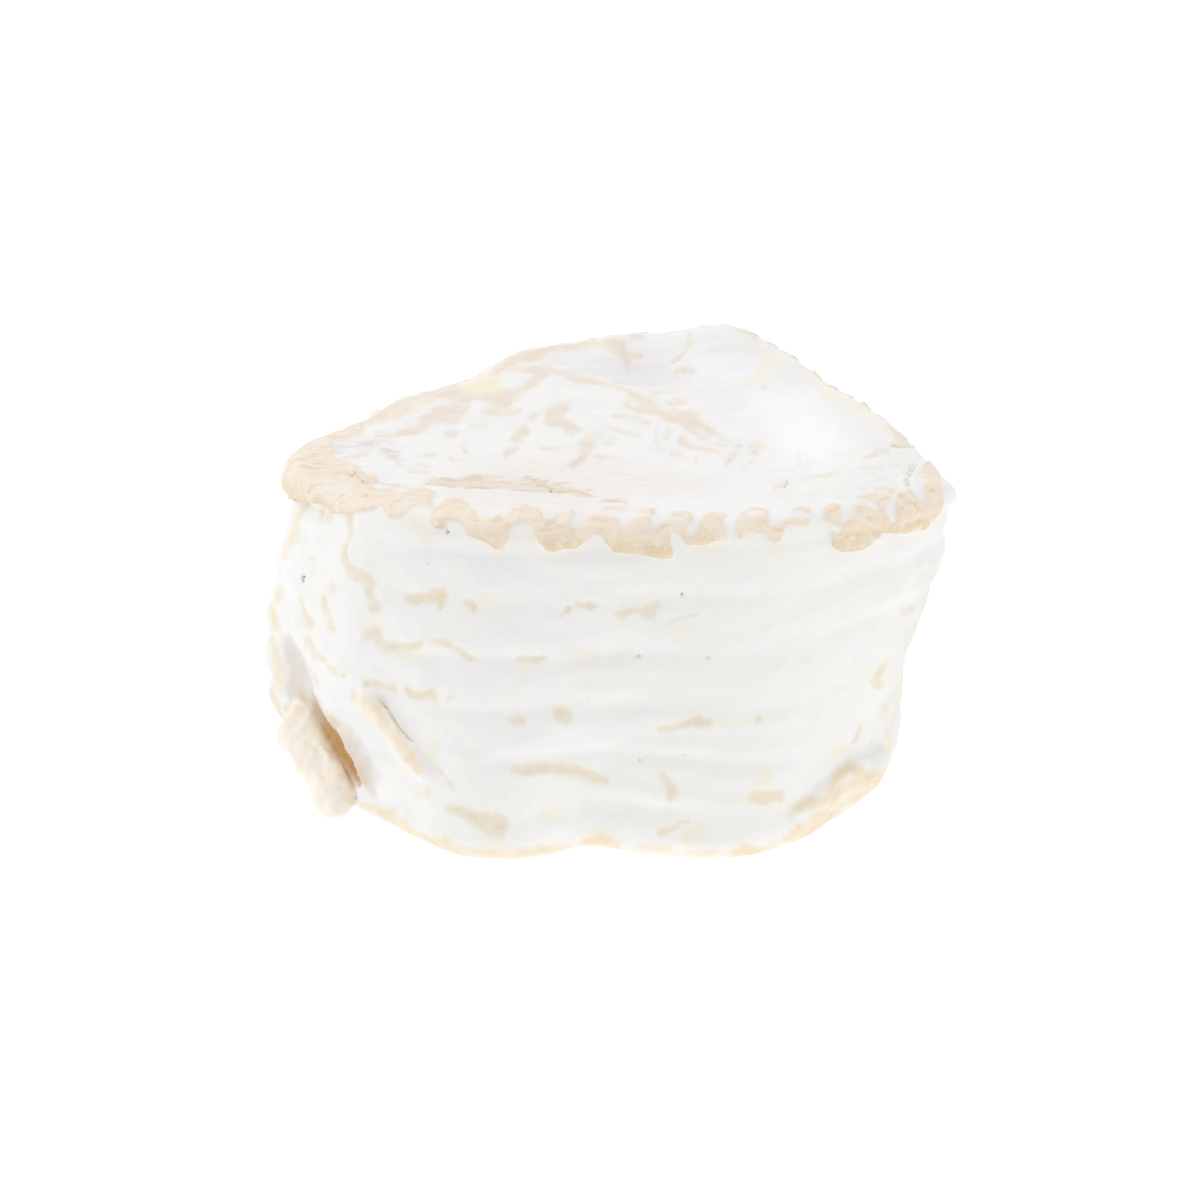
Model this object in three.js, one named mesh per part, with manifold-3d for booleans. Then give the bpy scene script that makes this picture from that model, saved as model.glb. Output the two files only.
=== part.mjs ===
// A small bloomy-rind cheese wheel, slumped out of round. Its white rind is ribbed round the side by the
// mould, dried to a thick scalloped crust along the top edge, and has a loose flap low on the left.
// Millimetres, +Z up, front at -Y. Bearings are degrees seen from above: 0 is +X, 90 the back, 270 the front.
import * as THREE from "three";
import { mergeVertices } from "three/addons/utils/BufferGeometryUtils.js";
import Module from "manifold-3d";

// Driving sizes.
const FOOT_RADIUS = 39.6;
const WAIST_RADIUS = 40;
const RIM_RADIUS = 39.6;
const RIM_HEIGHT = 41.4;
const WAIST_LEVEL = 0.42; // share of the height at which the waist is measured
const FOOT_ROUNDING = 3.4;
const RIM_ROUNDING = 2.5;
const CRUST_OVERHANG = 0.7; // how far the crust stands out over the side
const CRUST_DEPTH = 3.5; // how far the crust comes down the side
const CRUST_WIDTH = 5; // how far it reaches in over the top
const CRUST_RISE = 0.6; // its height over the top's white skin
const SCALLOP_PITCH = 8.4; // degrees from one scallop of the crust to the next
const SCALLOP_DEPTH = 1.2;
const SCALLOP_STAND = 0.18; // how much further a scallop stands out than the crust between scallops
const RIM_WAVE = 0.2; // small uneven rise and fall along the rim
const RIB_PITCH = 6.7; // upright distance between the mould's grooves round the side
const RIB_FIRST = 5.6;
const RIB_DEPTH = 0.5;
const TOP_HEIGHT = 42; // the top's white skin away from its hump and hollows

// Changes to the outline round their bearing: a bell of that spread, with its own amount at each level.
const OUTLINE_FORMS = [
  { name: "left swelling", bearing: 189, spread: 26, foot: 5, waist: 5, rim: 0.9 },
  { name: "left front corner", bearing: 219, spread: 10, foot: 0.8, waist: 1.2, rim: 0.8 },
  { name: "left foot lobe", bearing: 244, spread: 15, foot: 4.4, waist: 2, rim: 0 },
  { name: "foot notch", bearing: 266, spread: 8, foot: -3.6, waist: -0.6, rim: 0 },
  { name: "flat front", bearing: 271, spread: 34, foot: 0.6, waist: -2, rim: -2.6 },
  { name: "right foot lobe", bearing: 297, spread: 14, foot: 4.2, waist: 2, rim: 0.4 },
  { name: "right foot", bearing: 325, spread: 12, foot: 1.2, waist: 0, rim: 0 },
  { name: "right corner", bearing: 347, spread: 19, foot: -0.6, waist: -0.5, rim: 6.4 },
  { name: "right edge", bearing: 18, spread: 14, foot: 0, waist: 0, rim: 1.6 },
  { name: "back right", bearing: 60, spread: 24, foot: 0.6, waist: 1, rim: 1.8 },
  { name: "flat back left", bearing: 116, spread: 35, foot: -2, waist: -2.4, rim: -2.6 },
];

// Changes to the height of the rim round their bearing.
const RIM_FORMS = [
  { name: "high back", bearing: 78, spread: 35, rise: 5.2 },
  { name: "back peak", bearing: 64, spread: 10, rise: 2.3 },
  { name: "back left knob", bearing: 109, spread: 9, rise: 1.2 },
  { name: "back left", bearing: 114, spread: 22, rise: 0.6 },
  { name: "gap in the crust", bearing: 123, spread: 5, rise: -0.8 },
  { name: "left slope", bearing: 158, spread: 14, rise: -0.9 },
  { name: "back right shoulder", bearing: 50, spread: 7, rise: 1.2 },
  { name: "high front", bearing: 262, spread: 50, rise: 3.5 },
  { name: "low right", bearing: 0, spread: 15, rise: -2 },
];

// Thicker and thinner stretches of the crust.
const CRUST_FORMS = [
  { name: "left lobe", bearing: 190, spread: 15, overhang: 3, depth: 0.2 },
  { name: "thin stretch", bearing: 228, spread: 9, overhang: 0, depth: -1.2 },
  { name: "middle blob", bearing: 279, spread: 6, overhang: 0.1, depth: 0.9 },
  { name: "right blob", bearing: 317, spread: 8, overhang: 0.7, depth: 1 },
];

// Hollows and swellings of the side, centred on a bearing and a height.
const SIDE_FORMS = [
  { name: "left furrow", bearing: 201, height: 14.5, wide: 7, tall: 5, out: -2.4 },
  { name: "recess behind the flap", bearing: 197, height: 1, wide: 14, tall: 4.6, out: -4.5 },
  { name: "swelling under the dent", bearing: 346, height: 19, wide: 16, tall: 3.4, out: 0.7 },
  { name: "right shoulder", bearing: 350, height: 28, wide: 20, tall: 7, out: 2.2 },
  { name: "hollow over the notch", bearing: 266, height: 9, wide: 8, tall: 7, out: -0.9 },
  { name: "left waist skin", bearing: 188, height: 17, wide: 6, tall: 9, out: 1 },
  { name: "front left cheek", bearing: 236, height: 27, wide: 12, tall: 8, out: 0.5 },
];

// The top: a hump at the front left that ends in a curved crusty ridge, and hollows beyond it.
const HUMP = { x: -22, y: -10, radius: 36.8, rise: 2, slope: 5, front: -12, back: 16 };
const RIDGE = { rise: 0.8, wide: 3 };
// How far in from the crust the top takes its own shape, which is further at the back right.
const SETTLING = { width: 9, backWidth: 15, bearing: 55, spread: 30 };
const TOP_FORMS = [
  { name: "slope inside the back", x: -2, y: 36, wide: 10, rise: 1.6 },
  { name: "pit behind the ridge", x: 5, y: 26, wide: 7, rise: -2.2 },
  { name: "valley", x: 13, y: 16, wide: 7, rise: -1.4 },
  { name: "right hollow", x: 21, y: 7, wide: 10, rise: -2.2 },
  { name: "left dip", x: -30, y: 2, wide: 12, rise: -0.8 },
];

// Tongues of rind that lie on the side, and the crevice under one. Each runs through points given by
// bearing, height and how far its middle stands off the side. Its lean turns its upper edge outwards,
// and its ends are the blunter the higher its squareness.
const FLAP = {
  along: [[198, 9.4, 0.3], [203.6, 7.5, 0.7], [209.2, 5.1, 1], [214.6, 2.7, 1.4], [218, 0.6, 1.8]],
  halfWidth: 3.1,
  halfThickness: 1.3,
  lean: -32,
  squareness: 8,
};
const CREVICE = {
  along: [[203, 12.8, 0.4], [208.5, 11, -0.2], [213.6, 9, -0.8], [217.6, 6.8, -0.6], [220, 4.8, 0.5]],
  halfWidth: 2.4,
  halfThickness: 2.6,
  lean: 25,
  squareness: 4,
};
const PEELED_STRIP = {
  along: [[219.4, 17.8, -0.3], [224.9, 17, 0.5], [228.9, 15.1, 0.6], [232.9, 12.8, 0.5], [238.7, 9.4, -0.3]],
  halfWidth: 1.7,
  halfThickness: 0.9,
  lean: -2,
  squareness: 4,
};
const FOOT_FOLD = {
  along: [[300, 3.4, -0.6], [308, 4.6, 0.2], [316, 6, 0.6], [325, 5.6, 0.7], [336, 4.6, -0.4]],
  halfWidth: 2.4,
  halfThickness: 1.1,
  lean: 10,
  squareness: 4,
};
const FLOOR_CLEARANCE = 0.2; // no tongue hangs lower over the surface that the wheel stands on
const TONGUE_STATIONS = 14;
const TONGUE_SIDES = 12;

const { sin, cos, PI, hypot, sqrt, exp, floor } = Math;
const radians = (degrees) => (degrees * PI) / 180;
const mix = (a, b, t) => a + (b - a) * t;
const clamp = (t) => Math.min(1, Math.max(0, t));
const smooth = (t) => clamp(t) * clamp(t) * (3 - 2 * clamp(t));
const bell = (offset, spread) => exp(-((offset / spread) ** 2));
const turn = (a, b) => ((((a - b + 180) % 360) + 360) % 360) - 180;
const sumOf = (forms, amount) => forms.reduce((total, form) => total + amount(form), 0);

// Radius of the plain outline at one of the three levels.
function outlineAt(level, base, bearing) {
  return base + sumOf(OUTLINE_FORMS, (f) => f[level] * bell(turn(bearing, f.bearing), f.spread));
}

const rimRadius = (bearing) => outlineAt("rim", RIM_RADIUS, bearing);

function rimHeight(bearing) {
  const forms = sumOf(RIM_FORMS, (f) => f.rise * bell(turn(bearing, f.bearing), f.spread));
  return RIM_HEIGHT + forms + RIM_WAVE * sin(radians(13 * bearing));
}

// From -1 between two scallops of the crust to 1 at the middle of one, unevenly spaced.
function scallop(bearing) {
  const wander = 0.9 * sin(radians(3 * bearing + 40)) + 0.6 * sin(radians(7 * bearing));
  return cos((2 * PI * bearing) / SCALLOP_PITCH + wander) * (0.75 + 0.25 * sin(radians(5 * bearing + 80)));
}

const crustForms = (amount, bearing) =>
  sumOf(CRUST_FORMS, (f) => f[amount] * bell(turn(bearing, f.bearing), f.spread));

const crustOverhang = (bearing) =>
  CRUST_OVERHANG + crustForms("overhang", bearing) + SCALLOP_STAND * scallop(bearing);

const crustDepth = (bearing) =>
  CRUST_DEPTH + crustForms("depth", bearing) + SCALLOP_DEPTH * scallop(bearing);

// Grooves between the ribs sag a little between the corners of the front.
function ribRelief(bearing, height) {
  const sag = 1.1 * sin(radians(2 * bearing + 60)) + 0.5 * sin(radians(5 * bearing));
  const phase = (height - RIB_FIRST + sag) / RIB_PITCH;
  const groove = bell(phase - Math.round(phase), 0.2);
  const fade = smooth(height / 5) * (0.7 + 0.3 * sin(radians(4 * bearing + 20) + floor(phase)));
  return -RIB_DEPTH * groove * fade;
}

function sideRadius(bearing, height) {
  const level = height / rimHeight(bearing);
  const foot = outlineAt("foot", FOOT_RADIUS, bearing);
  const waist = outlineAt("waist", WAIST_RADIUS, bearing);
  const rim = rimRadius(bearing) - CRUST_OVERHANG;
  // The parabola through the three levels.
  const toFoot = ((level - WAIST_LEVEL) * (level - 1)) / WAIST_LEVEL;
  const toWaist = (level * (1 - level)) / (WAIST_LEVEL * (1 - WAIST_LEVEL));
  const toRim = (level * (level - WAIST_LEVEL)) / (1 - WAIST_LEVEL);
  const forms = sumOf(
    SIDE_FORMS,
    (f) => f.out * bell(turn(bearing, f.bearing), f.wide) * bell(height - f.height, f.tall),
  );
  return foot * toFoot + waist * toWaist + rim * toRim + forms + ribRelief(bearing, height);
}

// Height of the top inside the crust.
function topHeight(x, y) {
  const beyond = hypot(x - HUMP.x, y - HUMP.y) - HUMP.radius;
  const towardBack = smooth((y - HUMP.front) / (HUMP.back - HUMP.front));
  const hump = HUMP.rise * (1 - smooth(beyond / HUMP.slope)) * towardBack;
  const ridge = RIDGE.rise * bell(beyond, RIDGE.wide) * towardBack;
  const forms = sumOf(TOP_FORMS, (f) => f.rise * bell(hypot(x - f.x, y - f.y), f.wide));
  return TOP_HEIGHT + hump + ridge + forms;
}

// A point of the top, at a share of the way from the axis to the inner side of the rim's rounding.
function topPoint(bearing, share) {
  const edge = rimRadius(bearing) - RIM_ROUNDING;
  const [x, y] = polar(bearing, edge * share, 0);
  const inward = edge * (1 - share) + RIM_ROUNDING;
  const crust = CRUST_RISE * (1 - smooth(inward - CRUST_WIDTH + 0.5));
  const towardBack = bell(turn(bearing, SETTLING.bearing), SETTLING.spread);
  const settling = mix(SETTLING.width, SETTLING.backWidth, towardBack);
  const settled = smooth((inward - RIM_ROUNDING) / settling);
  return [x, y, mix(rimHeight(bearing) - CRUST_RISE, topHeight(x, y), settled) + crust];
}

// A ring of points round the axis, one for each bearing.
const ringOf = (bearings, pointAt) => bearings.map(pointAt);
const polar = (bearing, radius, z) => [radius * cos(radians(bearing)), radius * sin(radians(bearing)), z];

// Bearings round the wheel, closer together at the front than at the back.
function bearingsRound(count) {
  const crowding = 0.3;
  return Array.from({ length: count }, (_, i) => {
    const even = (360 * i) / count;
    return even - ((crowding * 180) / PI) * cos(radians(even));
  });
}

const ROUND = 112;
const HALF = ROUND / 2;
const QUARTER = ROUND / 4;
const SIDE_RINGS = 22;
const FOOT_RINGS = 3;
const CRUST_UNDERSIDE = [[0.14, 0.75], [0.6, 0.95]]; // shares of its rise from the side and of its overhang
const CRUST_TURNS = [0, 26, 52, 78, 102]; // degrees up and over the crust's rounded edge
const TOP_RINGS = [0.95, 0.9, 0.85, 0.8, 0.74, 0.68, 0.62, 0.56, 0.5];
const TOP_HALF_RINGS = [0.44, 0.38, 0.32, 0.26];
const TOP_QUARTER_RINGS = [0.2, 0.13, 0.06];

function bodyRings() {
  const all = bearingsRound(ROUND);
  const half = bearingsRound(HALF);
  const quarter = bearingsRound(QUARTER);
  const rings = [];
  const footRadius = (bearing) => sideRadius(bearing, FOOT_ROUNDING);
  for (const [bearings, share] of [[quarter, 0.3], [half, 0.65]])
    rings.push(ringOf(bearings, (b) => polar(b, (footRadius(b) - FOOT_ROUNDING) * share, 0)));
  for (let i = 0; i < FOOT_RINGS; i++) {
    const slope = (i / FOOT_RINGS) * (PI / 2);
    const inward = FOOT_ROUNDING * (1 - sin(slope));
    rings.push(ringOf(all, (b) => polar(b, footRadius(b) - inward, FOOT_ROUNDING * (1 - cos(slope)))));
  }
  const neck = (b) => rimHeight(b) - crustDepth(b);
  const evenNeck = (b) => rimHeight(b) - CRUST_DEPTH;
  for (let i = 0; i < SIDE_RINGS; i++) {
    const share = i / (SIDE_RINGS - 1);
    rings.push(ringOf(all, (b) => {
      const height = mix(FOOT_ROUNDING, evenNeck(b), share) + (neck(b) - evenNeck(b)) * share ** 8;
      return polar(b, sideRadius(b, height), height);
    }));
  }
  const crustEdge = (b) => rimRadius(b) - CRUST_OVERHANG + crustOverhang(b);
  for (const [rise, stand] of CRUST_UNDERSIDE)
    rings.push(ringOf(all, (b) => {
      const under = sideRadius(b, neck(b));
      return polar(b, mix(under, crustEdge(b), stand), mix(neck(b), rimHeight(b) - RIM_ROUNDING, rise));
    }));
  for (const angle of CRUST_TURNS)
    rings.push(ringOf(all, (b) => {
      const inward = RIM_ROUNDING * (1 - cos(radians(angle)));
      const down = RIM_ROUNDING * (1 - sin(radians(angle)));
      return polar(b, crustEdge(b) - inward, rimHeight(b) - down);
    }));
  for (const share of TOP_RINGS) rings.push(ringOf(all, (b) => topPoint(b, share)));
  for (const share of TOP_HALF_RINGS) rings.push(ringOf(half, (b) => topPoint(b, share)));
  for (const share of TOP_QUARTER_RINGS) rings.push(ringOf(quarter, (b) => topPoint(b, share)));
  return rings;
}

// Joins rings, each with as many points as the next, or half or twice as many, and closes both ends.
function surfaceOf(rings, first, last) {
  const positions = [first, ...rings.flat(), last].flat();
  const faces = [];
  let start = 1;
  const end = positions.length / 3 - 1;
  rings[0].forEach((_, i) => faces.push(0, start + ((i + 1) % rings[0].length), start + i));
  for (let r = 0; r + 1 < rings.length; r++) {
    const a = rings[r].length;
    const b = rings[r + 1].length;
    const low = (i) => start + (i % a);
    const high = (i) => start + a + (i % b);
    for (let i = 0; i < Math.min(a, b); i++) {
      if (a === b) faces.push(low(i), low(i + 1), high(i + 1), low(i), high(i + 1), high(i));
      if (a < b)
        faces.push(
          low(i), high(2 * i + 1), high(2 * i),
          low(i), low(i + 1), high(2 * i + 1),
          low(i + 1), high(2 * i + 2), high(2 * i + 1),
        );
      if (a > b)
        faces.push(
          low(2 * i), low(2 * i + 1), high(i),
          low(2 * i + 1), high(i + 1), high(i),
          low(2 * i + 1), low(2 * i + 2), high(i + 1),
        );
    }
    start += a;
  }
  const top = rings.at(-1);
  top.forEach((_, i) => faces.push(end, start + i, start + ((i + 1) % top.length)));
  const geometry = new THREE.BufferGeometry();
  geometry.setAttribute("position", new THREE.Float32BufferAttribute(positions, 3));
  geometry.setIndex(faces);
  return geometry;
}

const wasm = await Module();
wasm.setup();

function solidOf(geometry) {
  const merged = mergeVertices(geometry, 1e-4);
  const vertProperties = new Float32Array(merged.attributes.position.array);
  const triVerts = new Uint32Array(merged.index.array);
  return new wasm.Manifold(new wasm.Mesh({ numProp: 3, vertProperties, triVerts }));
}

function geometryOf(solid) {
  const { vertProperties, triVerts } = solid.getMesh();
  const geometry = new THREE.BufferGeometry();
  geometry.setAttribute("position", new THREE.Float32BufferAttribute(vertProperties, 3));
  geometry.setIndex(Array.from(triVerts));
  return geometry;
}

// Moved so that the middle of its box is over the origin.
function centred(geometry) {
  geometry.computeBoundingBox();
  const middle = geometry.boundingBox.getCenter(new THREE.Vector3());
  return geometry.translate(-middle.x, -middle.y, 0);
}

function wheelBody() {
  return solidOf(surfaceOf(bodyRings(), [0, 0, 0], [0, 0, topHeight(0, 0)]));
}

// A flattened round bar along its path on the side, tapering to a rounded point at each end.
function tongue({ along, halfWidth, halfThickness, lean, squareness }) {
  const onSide = ([b, height, off]) => new THREE.Vector3(...polar(b, sideRadius(b, height) + off, height));
  const points = along.map(onSide);
  const path = new THREE.CatmullRomCurve3(points);
  const rings = [];
  for (let i = 1; i < TONGUE_STATIONS; i++) {
    const share = i / TONGUE_STATIONS;
    const centre = path.getPointAt(share);
    const tangent = path.getTangentAt(share);
    const outward = new THREE.Vector3(centre.x, centre.y, 0).normalize();
    const across = new THREE.Vector3().crossVectors(outward, tangent).normalize();
    outward.crossVectors(tangent, across);
    across.applyAxisAngle(tangent, radians(lean));
    outward.applyAxisAngle(tangent, radians(lean));
    const fullness = sqrt(1 - (2 * share - 1) ** squareness);
    rings.push(Array.from({ length: TONGUE_SIDES }, (_, j) => {
      const angle = (2 * PI * j) / TONGUE_SIDES;
      const point = centre.clone();
      point.addScaledVector(across, halfWidth * fullness * cos(angle));
      point.addScaledVector(outward, halfThickness * fullness * sin(angle));
      point.z = Math.max(FLOOR_CLEARANCE, point.z);
      return point.toArray();
    }));
  }
  return solidOf(surfaceOf(rings, points[0].toArray(), points.at(-1).toArray()));
}

const rind = new THREE.MeshStandardMaterial({ color: 0xeeebe6, roughness: 0.75, metalness: 0 });
const solid = wheelBody()
  .subtract(tongue(CREVICE))
  .add(tongue(FLAP))
  .add(tongue(PEELED_STRIP))
  .add(tongue(FOOT_FOLD));
const wheel = new THREE.Mesh(centred(geometryOf(solid)), rind);
wheel.name = "cheese_wheel";

const group = new THREE.Group();
group.add(wheel);
export default group;
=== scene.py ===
"""The looks of a small bloomy-rind cheese wheel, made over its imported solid.

Sizes are in millimetres until a mesh is made. Bearings are degrees seen from above: 0 is +X, 90 the back and
270 the front. Marks that show in the photograph are placed by where they show there, in its pixels from the
upper left, and lie on the rind that is seen at that place. The side and rim that face away have charts of
their own: by bearing and height, and by bearing and how far down from the rim's crest.
"""

import itertools
import math

import bpy
import numpy as np
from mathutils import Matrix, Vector


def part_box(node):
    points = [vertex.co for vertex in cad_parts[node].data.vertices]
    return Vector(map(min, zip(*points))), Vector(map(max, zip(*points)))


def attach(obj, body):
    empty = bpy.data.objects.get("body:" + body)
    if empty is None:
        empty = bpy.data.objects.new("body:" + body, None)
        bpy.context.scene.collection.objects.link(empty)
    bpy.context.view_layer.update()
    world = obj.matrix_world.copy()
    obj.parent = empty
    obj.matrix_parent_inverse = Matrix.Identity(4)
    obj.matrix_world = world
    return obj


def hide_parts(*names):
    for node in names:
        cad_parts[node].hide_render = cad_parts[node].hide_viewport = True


MM = 0.001
NODE = "cheese_wheel"

# ---------------------------------------------------------------- the photograph's camera

CAMERA_ELEVATION = 21
CAMERA_DISTANCE = 438
CAMERA_TARGET = (-0.8, -3.7, 21.6)
CAMERA_LENS, CAMERA_SENSOR = 100, 36
PHOTO_PIXELS = 1200  # across and down
FOCAL_PIXELS = PHOTO_PIXELS * CAMERA_LENS / CAMERA_SENSOR
PIXELS_PER_MM = FOCAL_PIXELS / CAMERA_DISTANCE  # at the wheel

# ---------------------------------------------------------------- the wheel's form, as its solid has it

FOOT_RADIUS, WAIST_RADIUS, RIM_RADIUS = 39.6, 40, 39.6
RIM_HEIGHT = 41.4
WAIST_LEVEL = 0.42  # share of the height
FOOT_ROUNDING, RIM_ROUNDING = 3.4, 2.5
CRUST_OVERHANG, CRUST_DEPTH, CRUST_RISE = 0.7, 3.5, 0.6
RIM_WAVE = 0.2
RIB_PITCH, RIB_FIRST, RIB_DEPTH = 6.7, 5.6, 0.5
RIB_WIDTH = 0.2  # half a groove, as a share of the pitch
RIB_FADE = 5  # the height over which the grooves come in above the floor
TOP_HEIGHT = 42

# Bearing and spread, then the change in radius at the foot, the waist and the rim.
OUTLINE_FORMS = [
    (189, 26, 5, 5, 0.9),  # left swelling
    (219, 10, 0.8, 1.2, 0.8),  # left front corner
    (244, 15, 4.4, 2, 0),  # left foot lobe
    (266, 8, -3.6, -0.6, 0),  # foot notch
    (271, 34, 0.6, -2, -2.6),  # flat front
    (297, 14, 4.2, 2, 0.4),  # right foot lobe
    (325, 12, 1.2, 0, 0),  # right foot
    (347, 19, -0.6, -0.5, 6.4),  # right corner
    (18, 14, 0, 0, 1.6),  # right edge
    (60, 24, 0.6, 1, 1.8),  # back right
    (116, 35, -2, -2.4, -2.6),  # flat back left
]
FOOT, WAIST, RIM = range(3)

# Bearing and spread, then the rise of the rim.
RIM_FORMS = [
    (78, 35, 5.2),  # high back
    (64, 10, 2.3),  # back peak
    (109, 9, 1.2),  # back left knob
    (114, 22, 0.6),  # back left
    (123, 5, -0.8),  # gap in the crust
    (158, 14, -0.9),  # left slope
    (50, 7, 1.2),  # back right shoulder
    (262, 50, 3.5),  # high front
    (0, 15, -2),  # low right
]

# Bearing and spread, then how much further the crust stands out.
CRUST_FORMS = [
    (190, 15, 3),  # left lobe
]

# Bearing and height of the middle, width and height of the bell, then how far it swells out.
SIDE_FORMS = [
    (201, 14.5, 7, 5, -2.4),  # left furrow
    (197, 1, 14, 4.6, -4.5),  # recess behind the flap
    (346, 19, 16, 3.4, 0.7),  # swelling under the dent
    (350, 28, 20, 7, 2.2),  # right shoulder
    (266, 9, 8, 7, -0.9),  # hollow over the notch
    (188, 17, 6, 9, 1),  # left waist skin
    (236, 27, 12, 8, 0.5),  # front left cheek
]

# The hump of the top slopes down outside its radius, and comes in between the front's y and the back's. The
# ridge runs round the hump. Along the rim is a band over which the top settles, wider round one bearing.
HUMP = {"x": -22, "y": -10, "radius": 36.8, "rise": 2, "slope": 5, "front": -12, "back": 16}
RIDGE = {"rise": 0.8, "wide": 3}
SETTLING = {"width": 9, "back_width": 15, "bearing": 55, "spread": 30}
# Middle of the bell, its width and its rise.
TOP_FORMS = [
    (-2, 36, 10, 1.6),  # slope inside the back
    (5, 26, 7, -2.2),  # pit behind the ridge
    (13, 16, 7, -1.4),  # valley
    (21, 7, 10, -2.2),  # right hollow
    (-30, 2, 12, -0.8),  # left dip
]

# Tongues of rind on the side, and the crevice under one. Each runs through points given by bearing, height
# and how far its middle stands off the side. Its lean turns its upper edge outwards, its ends are the blunter
# the higher its squareness, and its seed sets how its width comes and goes.
FLAP = {
    "along": [(198, 9.4, 0.3), (203.6, 7.5, 0.7), (209.2, 5.1, 1), (214.6, 2.7, 1.4), (218, 0.6, 1.8)],
    "half_width": 3.1, "half_thickness": 1.3, "lean": -32, "squareness": 8, "seed": 3,
}
CREVICE = {
    "along": [(203, 12.8, 0.4), (208.5, 11, -0.2), (213.6, 9, -0.8), (217.6, 6.8, -0.6), (220, 4.8, 0.5)],
    "half_width": 2.4, "half_thickness": 2.6, "lean": 25, "squareness": 4, "seed": 11,
}
PEELED_STRIP = {
    "along": [
        (219.4, 17.8, -0.3), (224.9, 17, 0.5), (228.9, 15.1, 0.6), (232.9, 12.8, 0.5), (238.7, 9.4, -0.3),
    ],
    "half_width": 1.7, "half_thickness": 0.9, "lean": -2, "squareness": 4, "seed": 5,
}
FOOT_FOLD = {
    "along": [(300, 3.4, -0.6), (308, 4.6, 0.2), (316, 6, 0.6), (325, 5.6, 0.7), (336, 4.6, -0.4)],
    "half_width": 2.4, "half_thickness": 1.1, "lean": 10, "squareness": 4, "seed": 8,
}
FLOOR_CLEARANCE = 0.2

# ---------------------------------------------------------------- marks, by the photograph's pixels

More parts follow.
